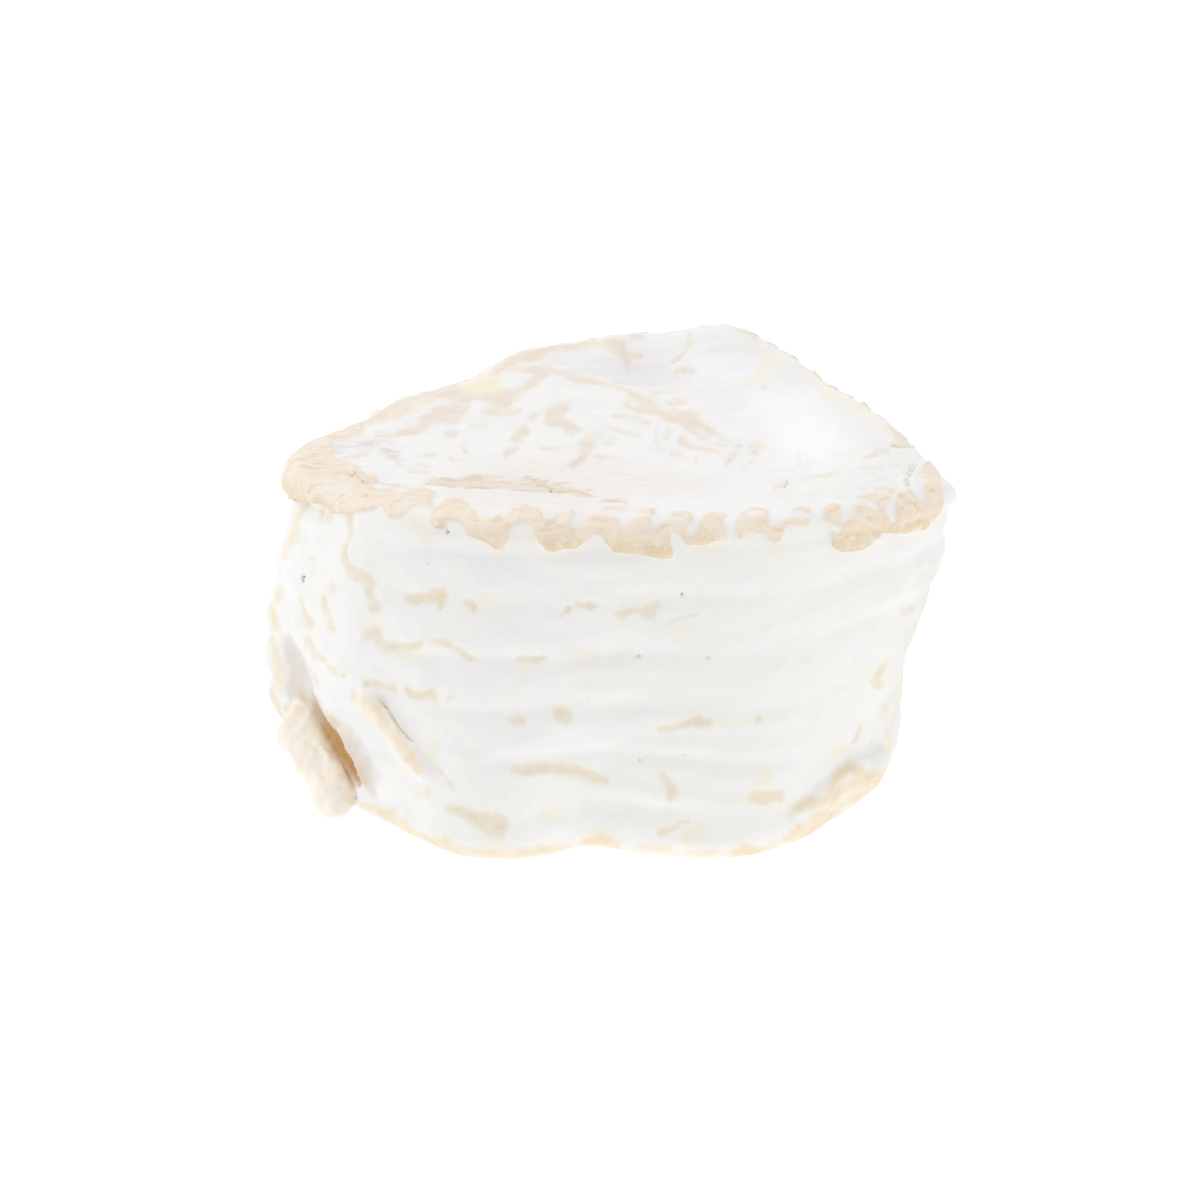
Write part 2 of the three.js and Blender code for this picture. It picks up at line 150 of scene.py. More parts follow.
# A closed outline is a list of (x, y), and a chain one of (x, y, half width).
# The crust along the rim: closed outlines.
CRUST_OUTLINES = [
    [(283, 490), (283, 477), (289, 462), (300, 449), (311, 439), (322, 435), (338, 429), (352, 423),
     (361, 423), (364, 430), (359, 435), (345, 438), (333, 442), (331, 447), (334, 451), (333, 456),
     (340, 461), (348, 463), (357, 467), (363, 474), (376, 477),
     (377, 481), (371, 485), (373, 490), (385, 490), (405, 493), (414, 491), (422, 488), (431, 491),
     (437, 496), (430, 498), (432, 503), (431, 509), (441, 506), (445, 501), (452, 499), (461, 501),
     (468, 506), (474, 512), (478, 519), (486, 520), (493, 518), (499, 516), (503, 519), (508, 518),
     (511, 512), (516, 509), (521, 506), (527, 506), (531, 509), (537, 508), (541, 514), (542, 520),
     (548, 521), (556, 515), (564, 513), (573, 511), (573, 517), (570, 524), (572, 530), (578, 527),
     (584, 521), (589, 515), (596, 513), (606, 516), (617, 518), (619, 524), (621, 528), (627, 525),
     (632, 520), (640, 518), (648, 518), (650, 524), (652, 531), (656, 532), (659, 526), (664, 521),
     (680, 520), (684, 517), (672, 515), (671, 512), (684, 512), (690, 514), (692, 518), (689, 526),
     (688, 533), (691, 537), (696, 536), (699, 530), (701, 521), (706, 516), (713, 513), (723, 513),
     (726, 516), (722, 521), (724, 527), (727, 534), (726, 539), (712, 542), (703, 544), (694, 544),
     (687, 545), (683, 541), (681, 535), (675, 532), (670, 534), (670, 542), (673, 552), (671, 559),
     (660, 558), (650, 556), (640, 554), (626, 553), (614, 552), (608, 545), (604, 537), (598, 535),
     (590, 538), (583, 543), (575, 549), (562, 549), (556, 552), (548, 550), (540, 543), (536, 535),
     (532, 527), (528, 521), (522, 521), (516, 524), (511, 531), (509, 538), (505, 545), (500, 549),
     (494, 548), (489, 543), (475, 538), (467, 534), (464, 526), (457, 521), (446, 521), (441, 524),
     (446, 527), (434, 528), (430, 521), (431, 511), (427, 507), (418, 506), (410, 508), (404, 514),
     (397, 518), (390, 517), (386, 512), (381, 505), (372, 509), (362, 512), (352, 514), (342, 513),
     (334, 513), (328, 508), (322, 503), (312, 502), (300, 502), (291, 499), (286, 498)],
    [(736, 520), (738, 516), (744, 513), (748, 516), (760, 516), (760, 512), (747, 511), (752, 509),
     (760, 509), (767, 511), (768, 519), (769, 525), (773, 527), (779, 525), (784, 524), (784, 534),
     (781, 540), (775, 542), (769, 540), (764, 534), (761, 532), (757, 533), (751, 531), (747, 534),
     (743, 538), (739, 540), (737, 534)],
    [(786, 521), (790, 519), (800, 519), (807, 519), (808, 525), (802, 527), (795, 529), (790, 527),
     (784, 525)],
    [(792, 511), (800, 507), (809, 507), (810, 512), (804, 513), (798, 511)],
    [(601, 509), (609, 507), (618, 508), (625, 510), (620, 512), (610, 511)],
    [(635, 511), (645, 509), (655, 510), (654, 514), (649, 516), (650, 512), (642, 512)],
    [(824, 518), (823, 510), (828, 506), (835, 505), (840, 508), (840, 516), (841, 524), (847, 523),
     (850, 519), (852, 512), (857, 505), (863, 504), (867, 510), (875, 511), (881, 511), (880, 507),
     (875, 503), (866, 500), (857, 499), (865, 496), (878, 494), (887, 494), (888, 491), (876, 490),
     (882, 487), (890, 489), (895, 491), (893, 496), (889, 500), (886, 504), (884, 511), (888, 518),
     (891, 523), (895, 523), (897, 515), (896, 508), (895, 500), (893, 497), (900, 493), (906, 492),
     (909, 489), (913, 494), (917, 498), (921, 502), (926, 504), (927, 500), (924, 496), (922, 490),
     (924, 486), (928, 480), (921, 476), (923, 468), (927, 462), (930, 461), (935, 464), (939, 470),
     (940, 480), (942, 492), (941, 503), (937, 512), (931, 521), (924, 529), (915, 530), (905, 532),
     (890, 533), (880, 532), (878, 537), (872, 540), (868, 544), (862, 549), (850, 551), (843, 552),
     (836, 550), (831, 546), (830, 538), (828, 533), (831, 531), (837, 532), (842, 527), (837, 525),
     (827, 522)],
]

# White flecks in the crust: chains.
CRUST_GAPS = [
    [(404, 499, 1), (412, 499, 1.5)],
    [(436, 505, 3), (440, 502, 2.5)],
    [(452, 524, 3), (462, 527, 2)],
    [(655, 524, 2), (656, 530, 2.5)],
    [(549, 526, 2), (556, 522, 1.5)],
    [(897, 490, 1), (902, 491, 1.4), (908, 487, 1.2), (914, 491, 2), (919, 497, 2.5), (924, 503, 1.6)],
    [(896, 489, 1), (893, 495, 1.6), (891, 502, 3), (891, 512, 3.5), (892, 520, 3)],
    [(921, 479, 2), (926, 480, 1.4)],
]

# Bare tan skin of the top: closed outlines of the rim, the ridge, the hump, the back and the crease.
TOP_OUTLINES = [
    [(893, 446), (897, 440), (892, 433), (888, 425), (899, 430), (907, 435), (913, 440), (917, 445),
     (911, 447), (901, 447)],
    [(362, 421), (366, 414), (374, 408), (385, 407), (388, 412), (386, 419), (378, 422), (366, 424)],
    [(391, 416), (393, 407), (400, 400), (408, 397), (414, 394), (422, 389), (436, 386), (447, 384),
     (456, 385), (460, 391), (466, 394), (463, 399), (455, 400), (447, 397), (432, 396), (420, 397),
     (413, 400), (411, 408), (407, 415), (400, 419), (393, 419)],
    [(374, 432), (395, 433), (403, 429), (417, 424), (418, 417), (427, 413), (437, 407), (448, 405),
     (456, 401), (463, 396), (478, 396), (471, 404), (468, 412), (461, 421), (453, 424), (440, 423),
     (432, 426), (426, 431), (416, 434), (400, 437), (384, 438), (377, 437)],
    [(492, 372), (500, 363), (515, 354), (530, 348), (545, 344), (562, 342), (590, 341), (588, 345),
     (572, 348), (558, 350), (545, 354), (534, 359), (520, 363), (507, 366), (520, 367), (540, 365),
     (552, 366), (564, 370), (580, 373), (594, 377), (605, 382), (618, 383), (632, 388), (645, 396),
     (657, 405), (651, 405), (640, 400), (630, 396), (624, 390), (612, 387), (603, 385), (596, 383),
     (590, 383), (576, 384), (568, 379), (558, 375), (550, 374), (544, 380), (537, 386), (529, 390),
     (524, 393), (513, 396), (512, 405), (503, 408), (495, 404), (488, 398), (478, 396), (505, 392),
     (518, 388), (527, 381), (533, 374), (520, 371), (505, 371), (497, 375)],
    [(480, 411), (486, 409), (515, 409), (522, 411), (516, 415), (487, 416)],
    [(619, 402), (627, 400), (632, 405), (645, 408), (658, 410), (668, 413), (680, 415), (690, 411),
     (699, 413), (701, 420), (706, 427), (713, 431), (719, 436), (712, 434), (703, 429), (697, 426),
     (695, 431), (701, 435), (708, 441), (712, 444), (704, 440), (694, 434), (686, 431), (682, 424),
     (672, 422), (662, 416), (650, 414), (637, 412), (626, 406)],
    [(678, 441), (680, 436), (687, 436), (690, 442), (698, 446), (710, 448), (719, 450), (719, 452),
     (708, 452), (695, 449), (686, 447), (679, 445)],
    [(664, 439), (665, 434), (669, 431), (673, 432), (671, 437), (668, 440)],
    [(545, 423), (546, 413), (552, 407), (560, 405), (568, 405), (570, 410), (566, 414), (565, 418),
     (572, 422), (578, 425), (582, 431), (576, 434), (572, 437), (566, 433), (562, 427), (553, 427)],
    [(583, 437), (590, 432), (597, 434), (594, 441), (591, 451), (586, 460), (580, 466), (573, 470),
     (570, 467), (577, 459), (580, 450), (581, 443)],
    [(511, 441), (517, 434), (520, 427), (525, 423), (529, 427), (530, 432), (525, 437), (521, 443),
     (514, 444)],
    [(527, 420), (530, 415), (535, 412), (541, 413), (538, 418), (533, 421)],
    [(604, 341), (612, 339), (624, 339), (627, 343), (626, 349), (630, 352), (640, 353), (645, 357),
     (640, 360), (633, 359), (630, 366), (628, 373), (625, 366), (623, 361), (617, 356), (611, 349)],
    [(424, 483), (440, 479), (480, 479), (505, 482), (525, 482), (542, 484), (560, 487), (575, 490),
     (595, 494), (588, 497), (572, 493), (556, 492), (530, 492), (515, 490), (500, 489), (480, 487),
     (460, 486), (443, 485)],
]

# Short tan strokes of the top: chains.
TOP_STROKES = [
    [(474, 427, 2), (485, 426, 2.5)],
    [(445, 435, 2), (456, 433, 2.5)],
    [(463, 445, 1.5), (465, 450, 2.5)],
    [(425, 455, 1.5), (434, 455, 2.5)],
    [(450, 457, 1), (462, 461, 1.5)],
    [(418, 465, 1), (430, 466, 1)],
    [(410, 471, 1.2), (428, 472, 1.2)],
    [(397, 455, 1.5), (398, 463, 1.2)],
    [(507, 456, 2.5), (510, 452, 3), (517, 449, 2)],
    [(541, 447, 1), (550, 449, 1), (560, 449, 1)],
    [(560, 403, 1), (572, 400, 1)],
    [(615, 416, 1.2), (630, 417, 1.5), (645, 421, 2), (650, 423, 1.5)],
    [(608, 428, 1), (620, 431, 1.5), (640, 436, 1.2)],
    [(604, 442, 1.5), (613, 441, 2)],
    [(597, 456, 2.5), (604, 457, 3)],
    [(606, 457, 1.5), (614, 458, 1), (621, 461, 0.6)],
    [(668, 428, 1.5)],
    [(672, 454, 1.5), (678, 453, 2), (686, 457, 1)],
    [(696, 459, 1.5)],
    [(719, 444, 1.2), (724, 446, 1.5)],
    [(751, 446, 1.5), (757, 445, 2), (763, 447, 1.5)],
    [(756, 452, 3.5)],
    [(737, 447, 1), (742, 447, 1)],
    [(728, 462, 3), (733, 456, 2.5), (737, 453, 2)],
    [(670, 401, 3), (677, 401, 4), (684, 402, 2.5)],
    [(653, 394, 1.5), (659, 393, 1.5)],
    [(676, 373, 1), (684, 372, 2.5), (692, 371, 1.5)],
    [(763, 388, 1.5), (767, 387, 1.5)],
    [(688, 331, 2)],
    [(688, 334, 2), (690, 343, 2), (686, 352, 2), (678, 359, 2), (672, 363, 1)],
    [(632, 337, 2), (642, 336, 2.5)],
    [(735, 327, 2), (745, 331, 2), (755, 338, 2)],
    [(862, 469, 1), (881, 468, 1)],
    [(808, 478, 0.8), (825, 476, 1), (838, 473, 1.2)],
    [(866, 458, 1.5), (880, 452, 2), (888, 452, 1.5)],
    [(841, 456, 1.2)],
    [(811, 500, 1), (815, 499, 0.8)],
    [(744, 469, 2)],
    [(752, 460, 1.5)],
    [(775, 488, 1), (786, 484, 1)],
    [(605, 500, 1.2), (625, 500, 1)],
    [(464, 491, 0.8), (470, 491, 1)],
    [(343, 458, 1.2), (355, 456, 2), (367, 453, 2)],
    [(320, 451, 1.5), (332, 450, 1.5)],
    [(391, 486, 0.8), (405, 486, 0.8)],
    [(412, 489, 0.8), (425, 488, 1)],
]

# Thin dark lines in and beside the crease that runs behind the front of the rim and in other narrow gaps,
# partly brown skin and partly painted shade there: chains.
CREASE_LINES = [
    [(425, 483, 0.4), (440, 484, 0.7), (457, 486, 0.4)],
    [(438, 478, 0.3), (450, 479, 0.6), (470, 480, 0.4), (484, 480, 0.3)],
    [(465, 487, 0.3), (480, 486, 0.6), (497, 488, 0.3)],
    [(500, 481, 0.3), (512, 483, 0.5), (530, 483, 0.3)],
    [(505, 490, 0.3), (520, 489, 0.5), (536, 491, 0.3)],
    [(536, 485, 0.4), (546, 485, 0.6), (557, 488, 0.4)],
    [(553, 490, 0.4), (562, 490, 0.7), (573, 490, 0.4)],
    [(576, 490, 0.5), (583, 492, 0.7), (592, 495, 0.4)],
    [(604, 500, 0.4), (612, 500, 0.7), (622, 500, 0.4)],
    [(378, 699, 0.8), (387, 708, 1.2), (398, 726, 1.2), (413, 742, 0.8)],
    [(431, 521, 0.8), (434, 526, 1.4), (440, 528, 1), (447, 528, 0.5)],
    [(358, 478, 0.8), (362, 482, 1), (367, 485, 0.6)],
    [(909, 477, 0.4), (913, 470, 0.9), (917, 464, 0.7)],
    [(908, 474, 0.4), (911, 466, 0.7), (913, 463, 0.5)],
    [(905, 481, 1.2), (908, 485, 1.6)],
    [(874, 488, 0.5), (886, 489, 0.7)],
    [(857, 498, 0.4), (866, 495, 0.7), (877, 494, 0.5)],
    [(893, 445, 0.4), (901, 446, 0.7), (911, 447, 0.5)],
    [(362, 498, 0.5), (369, 497, 0.9)],
    [(345, 474, 0.6), (352, 478, 1.1), (356, 475, 0.6)],
    [(784, 488, 0.8), (788, 480, 0.8)],
    [(322, 722, 0.6), (332, 742, 0.9), (344, 766, 1), (354, 785, 1.2), (356, 800, 0.8)],
    [(430, 476, 0.5), (444, 479, 0.5)],
]

# Bare patches of the side: chains.
SIDE_PATCHES = [
    [(349, 514, 3), (350, 525, 3.5), (351, 535, 2.5), (349, 541, 1.5), (346, 548, 2), (345, 558, 4.5),
     (350, 567, 5), (356, 574, 6), (366, 578, 7), (371, 584, 5.5), (370, 592, 4), (372, 600, 4.5),
     (375, 607, 6.5)],
    [(301, 596, 0.7), (302, 606, 1.5), (305, 615, 3), (309, 622, 4.5), (312, 626, 3)],
    [(324, 598, 3), (324, 607, 3.5), (328, 613, 2.5), (330, 617, 1.5), (331, 622, 4), (333, 627, 4)],
    [(308, 640, 3.5), (311, 648, 4), (316, 655, 4), (322, 660, 2.5), (325, 662, 1)],
    [(329, 667, 2), (334, 670, 3), (339, 674, 2.5), (346, 675, 1.5)],
    [(368, 635, 4.5), (375, 634, 6), (380, 642, 4), (387, 648, 5), (398, 647, 3.5), (410, 646, 3.5),
     (419, 644, 2.5), (423, 640, 1.2)],
    [(433, 641, 1), (440, 641, 2.5), (448, 643, 4), (455, 648, 1.5), (461, 653, 2.5), (470, 658, 3),
     (476, 659, 2)],
    [(408, 598, 4), (414, 599, 5.5), (424, 598, 5), (434, 595, 7), (440, 596, 8), (441, 605, 3)],
    [(468, 602, 3), (473, 607, 5)],
    [(368, 683, 3.5), (376, 684, 4), (384, 687, 2.5), (392, 687, 4), (396, 692, 1.5)],
    [(408, 690, 2.5), (414, 695, 4), (423, 695, 4), (430, 693, 5), (433, 699, 3)],
    [(447, 699, 1.5), (452, 697, 2.5)],
    [(567, 610, 3), (570, 607, 3)],
    [(561, 616, 1.2)],
    [(577, 603, 1), (584, 604, 2.5), (590, 605, 4.5), (594, 605, 3.5)],
    [(618, 613, 3), (622, 614, 5.5), (630, 610, 3.5), (637, 609, 2.5), (643, 611, 5), (650, 611, 7.5),
     (657, 606, 4.5)],
    [(666, 622, 1), (680, 618, 1.5), (690, 615, 1.5), (697, 613, 1.5)],
    [(519, 657, 2.5), (528, 658, 2.5), (540, 658, 2.5), (545, 657, 1.5)],
    [(507, 718, 1.5), (517, 719, 6.5), (522, 722, 4)],
    [(556, 709, 3), (562, 714, 8), (566, 717, 7)],
    [(661, 730, 3), (668, 729, 4.5), (680, 726, 4), (692, 722, 4.5), (700, 722, 7), (706, 722, 6)],
    [(759, 719, 4)],
    [(516, 768, 4.5), (526, 769, 6), (540, 768, 5.5), (552, 768, 6), (562, 769, 6.5), (575, 772, 6),
     (588, 777, 5), (600, 780, 4.5), (605, 780, 3.5)],
    [(450, 808, 3.5), (458, 810, 4.5), (468, 815, 5), (480, 820, 9), (492, 825, 11), (500, 824, 9),
     (500, 832, 6)],
    [(662, 775, 3), (667, 783, 4.5), (671, 790, 5.5), (670, 796, 4.5)],
    [(660, 833, 4), (666, 831, 4), (674, 828, 3.5), (680, 823, 1), (686, 822, 1.5)],
    [(755, 798, 5), (763, 798, 8), (770, 797, 6), (780, 797, 5)],
    [(853, 741, 2.5), (855, 738, 2), (858, 730, 2), (861, 725, 1.5)],
    [(884, 706, 2), (888, 712, 2.5)],
    [(880, 684, 4.5), (873, 682, 4.5), (880, 672, 5), (884, 664, 3)],
    [(903, 613, 2), (910, 608, 2.5)],
    [(436, 768, 1.2), (446, 779, 1.3), (453, 787, 1.5)],
    [(427, 790, 1.2), (428, 795, 1.6)],
    [(445, 838, 3), (449, 842, 5)],
    [(540, 848, 4), (548, 850, 3)],
    [(745, 848, 6)],
    [(280, 590, 2.5), (278, 600, 2.5)],
    [(333, 583, 1.2), (333, 590, 1.5)],
    [(345, 728, 1.2), (352, 730, 2)],
    [(324, 504, 2), (323, 512, 3), (321, 520, 2.2)],
    [(331, 510, 2), (327, 521, 1.8)],
]

# Fainter ones: chains.
FAINT_PATCHES = [
    [(387, 590, 1), (391, 597, 1.5), (400, 599, 3), (408, 598, 4)],
    [(452, 593, 2), (458, 594, 2.5)],
    [(480, 600, 5), (500, 604, 3)],
    [(505, 606, 1), (530, 607, 1)],
    [(565, 650, 2), (575, 653, 3.5), (592, 653, 4)],
    [(643, 680, 1), (648, 688, 1.5)],
    [(664, 612, 3), (674, 607, 3)],
    [(715, 722, 3), (735, 724, 2.5), (750, 722, 2)],
    [(727, 802, 2.5), (738, 801, 4), (750, 799, 5)],
    [(765, 785, 8), (765, 770, 4)],
    [(520, 667, 3), (540, 665, 2)],
    [(680, 640, 5), (690, 630, 4)],
    [(425, 741, 3), (432, 748, 6), (431, 760, 6)],
    [(415, 800, 4), (425, 795, 5)],
    [(880, 629, 3), (890, 622, 3)],
    [(800, 662, 2), (808, 656, 3)],
    [(817, 716, 2)],
    [(540, 815, 6), (558, 811, 5)],
    [(525, 838, 3)],
    [(408, 514, 4), (420, 528, 7), (427, 541, 4)],
    [(548, 524, 4), (558, 538, 6)],
    [(500, 553, 5)],
    [(528, 530, 4), (530, 545, 3)],
    [(655, 562, 3)],
    [(700, 548, 3), (722, 548, 3)],
    [(775, 546, 2.5), (777, 556, 1.5)],
    [(460, 575, 1)],
    [(370, 625, 7)],
    [(466, 760, 3), (474, 757, 2)],
    [(690, 836, 11), (705, 832, 8)],
    [(792, 804, 7), (786, 818, 5)],
    [(835, 750, 8), (845, 748, 6)],
    [(820, 735, 4)],
    [(590, 668, 3), (560, 672, 2)],
    [(600, 836, 8), (588, 838, 7), (615, 842, 4)],
    [(395, 655, 4), (430, 662, 4)],
]

# Ochre skin of the fold at the right of the foot, the lowest edge and the two edges of the side: chains.
OCHRE_SKIN = [
    [(797, 808, 3.5), (804, 805, 5.5), (812, 803, 7), (819, 802, 6), (826, 798, 4), (830, 790, 4),
     (834, 781, 4.5), (840, 773, 4.5), (848, 767, 5), (856, 766, 5), (862, 771, 5), (870, 776, 6.5),
     (878, 775, 5.5), (884, 770, 3.5)],
    [(785, 840, 2.5), (793, 836, 3.5), (800, 831, 5), (808, 830, 6), (818, 825, 6), (830, 818, 3.5),
     (845, 810, 3), (860, 801, 3), (875, 792, 3), (884, 784, 2.5)],
    [(443, 846, 3), (455, 852, 3.5), (470, 856, 3), (490, 859, 2.5), (510, 858, 2.5), (522, 858, 2)],
    [(590, 843, 3), (602, 838, 5), (618, 845, 2.5)],
    [(640, 848, 2), (655, 848, 3), (668, 850, 3)],
    [(690, 853, 2), (712, 852, 2)],
    [(733, 852, 3), (745, 852, 4.5), (760, 852, 3), (775, 848, 3)],
    [(271, 606, 2.5), (273, 615, 3.5), (276, 626, 3.5)],
    [(272, 640, 4), (276, 660, 4.5), (280, 680, 4.5), (277, 695, 4.5), (272, 712, 4)],
    [(296, 530, 3.5), (291, 543, 4.5), (285, 556, 2.5)],
    [(938, 571, 1.5), (932, 597, 2), (925, 612, 1.2)],
    [(916, 628, 1.5), (912, 640, 3), (911, 647, 1.5)],
    [(900, 691, 1.5), (898, 704, 1.5)],
    [(888, 733, 1.2), (886, 757, 2)],
    [(305, 508, 3.5), (300, 517, 3), (297, 522, 2)],
    [(362, 806, 3), (375, 810, 5), (390, 816, 8), (400, 824, 7), (412, 832, 5), (425, 839, 5), (440, 845, 6)],
    [(455, 851, 6), (480, 855, 6), (500, 854, 7), (520, 854, 5), (545, 851, 4), (570, 848, 4)],
    [(836, 802, 9), (850, 793, 13), (866, 787, 11), (877, 782, 6)],
    [(815, 818, 6), (830, 812, 6)],
    [(755, 798, 6), (764, 798, 7), (774, 797, 4)],
]

# The same skin where it is deepest, under the fold and along the lowest edge: chains.
DEEP_OCHRE = [
    [(790, 838, 4), (800, 832, 6), (812, 829, 8), (824, 822, 7), (835, 815, 5)],
    [(838, 776, 4), (850, 768, 5), (862, 773, 4)],
    [(866, 778, 4), (880, 780, 5)],
    [(738, 852, 4), (760, 853, 4)],
    [(585, 843, 4), (602, 842, 5), (618, 846, 3)],
    [(398, 835, 4), (420, 841, 4), (440, 849, 5)],
]

# Raised wrinkles of the top, near the front: chains.
WRINKLES = [
    [(838, 470, 0.8), (852, 474, 1.4), (866, 481, 0.8)],
    [(842, 480, 0.8), (854, 484, 1.4), (864, 489, 0.8)],
    [(850, 462, 0.8), (862, 466, 1.2), (876, 474, 0.8)],
    [(845, 473, 0.8), (851, 480, 1.2), (856, 487, 0.8)],
    [(858, 484, 0.8), (868, 481, 1.2), (878, 480, 0.8)],
    [(905, 473, 0.8), (902, 481, 1.4), (903, 488, 1)],
    [(916, 468, 0.8), (914, 477, 1.2), (917, 486, 1)],
    [(923, 464, 0.8), (918, 472, 1.2)],
    [(798, 452, 0.8), (796, 466, 1.2), (801, 478, 0.8)],
    [(808, 456, 0.8), (804, 472, 1.2)],
    [(880, 478, 1), (893, 486, 1.6), (899, 496, 1)],
    [(900, 470, 1), (906, 482, 1.4)],
    [(430, 480, 0.8), (470, 476, 1.2), (530, 478, 1.2), (580, 485, 0.8)],
    [(440, 490, 0.8), (500, 492, 1.4), (560, 496, 1.2), (600, 502, 0.8)],
    [(560, 470, 0.8), (590, 450, 1.2), (602, 425, 1)],
    [(655, 425, 1), (655, 445, 1.4), (662, 452, 1)],
]

# Pinholes, painted dark as the shade in their pits: single places with their half widths.
PINHOLES = [
    (303, 577, 1.6), (303, 581, 1.4), (311, 560, 1), (445, 529, 1), (447, 533, 1.5), (429, 563, 0.8),
    (586, 699, 1.2), (682, 595, 1.2), (704, 590, 0.8), (685, 755, 1.2), (708, 658, 0.8), (638, 656, 1.2),
    (844, 578, 0.8), (763, 603, 0.8), (640, 760, 0.8), (551, 489, 1.8),
]

# Soft tints of the rind, in the order that they are laid on: chains, how soft their edges are in
# millimetres, how far they break into level streaks, and the colour. Some of them are painted light and
# shade, as noted at each.
TINTS = {
    "damp": {
        "chains": [
            [(650, 590, 40), (740, 600, 60), (850, 600, 60)],
            [(620, 690, 40), (740, 690, 60), (860, 680, 50)],
            [(470, 810, 30), (600, 800, 50), (700, 790, 60), (830, 780, 50)],
        ],
        "soft": 9, "streaked": 0.4, "colour": (0.903, 0.903, 0.877),
    },
    # Painted light: a brighter, bluer white on the slope that rises to the back right rim.
    "painted_slope_light": {
        "chains": [
            [(765, 400, 14), (790, 415, 26), (812, 440, 26)],
            [(700, 362, 8), (735, 372, 12), (765, 388, 12)],
        ],
        "soft": 6, "streaked": 0, "colour": (0.965, 0.965, 0.98),
    },
    # Painted shade: grey lavender in the pit behind the ridge and in the valley beyond it.
    "painted_hollow_shade": {
        "chains": [
            [(540, 360, 5), (580, 359, 9), (612, 368, 12), (648, 352, 14), (652, 372, 12)],
            [(690, 392, 11), (735, 418, 14), (760, 445, 9)],
        ],
        "soft": 3, "streaked": 0.3, "colour": (0.905, 0.888, 0.9),
    },
    # Painted shade: grey brown in the recess over the flap, to the right of the crevice and low on the left
    # edge.
    "painted_furrow_shade": {
        "chains": [
            [(286, 638, 3), (293, 655, 9), (298, 672, 13), (302, 690, 16), (308, 704, 14)],
            [(340, 722, 3), (352, 742, 7), (363, 764, 9), (371, 787, 7)],
            [(271, 694, 4), (276, 712, 8), (283, 730, 6)],
        ],
        "soft": 1.6, "streaked": 0, "colour": (0.775, 0.73, 0.68),
    },
    # Painted shade: a greyer, faintly green white down the right edge of the side.
    "right_edge_painted_shade": {
        "chains": [
            [(936, 560, 5), (926, 600, 9), (910, 640, 13), (898, 700, 13), (888, 750, 12), (880, 785, 12)],
        ],
        "soft": 3, "streaked": 0.2, "colour": (0.84, 0.83, 0.785),
    },
    # Painted shade along the lowest edge of the front, in the yellow hue of the cream band there.
    "painted_foot_shade": {
        "chains": [
            [(545, 854, 5), (600, 854, 8), (650, 859, 9), (700, 861, 9), (760, 856, 9), (805, 843, 9)],
        ],
        "soft": 2, "streaked": 0.2, "colour": (0.81, 0.765, 0.655),
    },
    "grey": {
        "chains": [
            [(338, 446, 5), (358, 445, 8), (374, 444, 5)],
            [(380, 444, 5), (391, 451, 7), (398, 460, 4)],
        ],
        "soft": 1.2, "streaked": 0.85, "colour": (0.79, 0.755, 0.725),
    },
    # Brown round the crevice: partly the skin's own brown, partly painted shade by the crevice.
    "shade": {
        "chains": [
            [(301, 693, 2), (311, 700, 4), (330, 722, 5), (346, 750, 7), (357, 770, 7), (363, 782, 4)],
        ],
        "soft": 1.4, "streaked": 0.3, "colour": (0.73, 0.6, 0.47),
    },
    "beige": {
        "chains": [
            [(450, 478, 6), (500, 474, 14), (600, 476, 20), (660, 482, 14), (700, 486, 6)],
            [(450, 494, 6), (480, 500, 9), (520, 500, 10), (560, 505, 10), (600, 508, 8), (640, 512, 5)],
        ],
        "soft": 2.6, "streaked": 0.5, "colour": (0.885, 0.845, 0.805),
    },
    "crease": {
        "chains": [
            [(428, 480, 3), (450, 482, 5), (480, 484, 6), (520, 486, 6), (560, 488, 5), (592, 495, 2)],
            [(602, 500, 1), (625, 500, 2)],
            [(376, 483, 1), (396, 486, 2), (415, 489, 1)],
        ],
        "soft": 0.7, "streaked": 0.9, "colour": (0.78, 0.66, 0.53),
    },
    "tan_edge": {
        "chains": [
            [(345, 432, 7), (372, 418, 8), (400, 407, 7), (430, 396, 8), (455, 391, 6), (470, 395, 5)],
            [(482, 398, 5), (497, 399, 8), (512, 396, 7)],
            [(492, 378, 4), (515, 360, 6), (545, 350, 5), (580, 345, 4), (620, 341, 4)],
            [(632, 398, 3), (660, 411, 5), (690, 420, 7), (708, 432, 4)],
        ],
        "soft": 1.6, "streaked": 0.1, "colour": (0.89, 0.805, 0.69),
    },
    "blush": {
        "chains": [
            [(795, 356, 4), (812, 370, 8), (832, 388, 10), (850, 400, 8), (872, 413, 9), (905, 434, 8)],
            [(762, 347, 5), (773, 360, 8), (763, 375, 7), (746, 382, 4)],
        ],
        "soft": 2, "streaked": 0.1, "colour": (0.957, 0.893, 0.81),
    },
    "yellow": {
        "chains": [
            [(456, 386, 2), (466, 388, 5), (480, 385, 7), (495, 386, 5), (503, 389, 3)],
            [(480, 376, 4), (494, 378, 4)],
        ],
        "soft": 1.8, "streaked": 0, "colour": (0.93, 0.86, 0.67),
    },
}

# The paler skin of the crust's left lobe: chains.
PALE_CRUST = [
    [(291, 484, 9), (298, 466, 10), (316, 450, 9), (340, 434, 5)],
    [(300, 492, 8), (325, 492, 12), (345, 488, 10)],
]


# ---------------------------------------------------------------- arithmetic


def radians(degrees):
    return np.asarray(degrees, float) * (math.pi / 180)


def mix(a, b, share):
    return a + (b - a) * share


def smooth(t):
    t = np.clip(t, 0, 1)
    return t * t * (3 - 2 * t)


def bell(offset, spread):
    return np.exp(-((offset / spread) ** 2))


def turn(a, b):
    """The way round from bearing b to bearing a, from -180 to 180 degrees."""
    return (a - b + 180) % 360 - 180


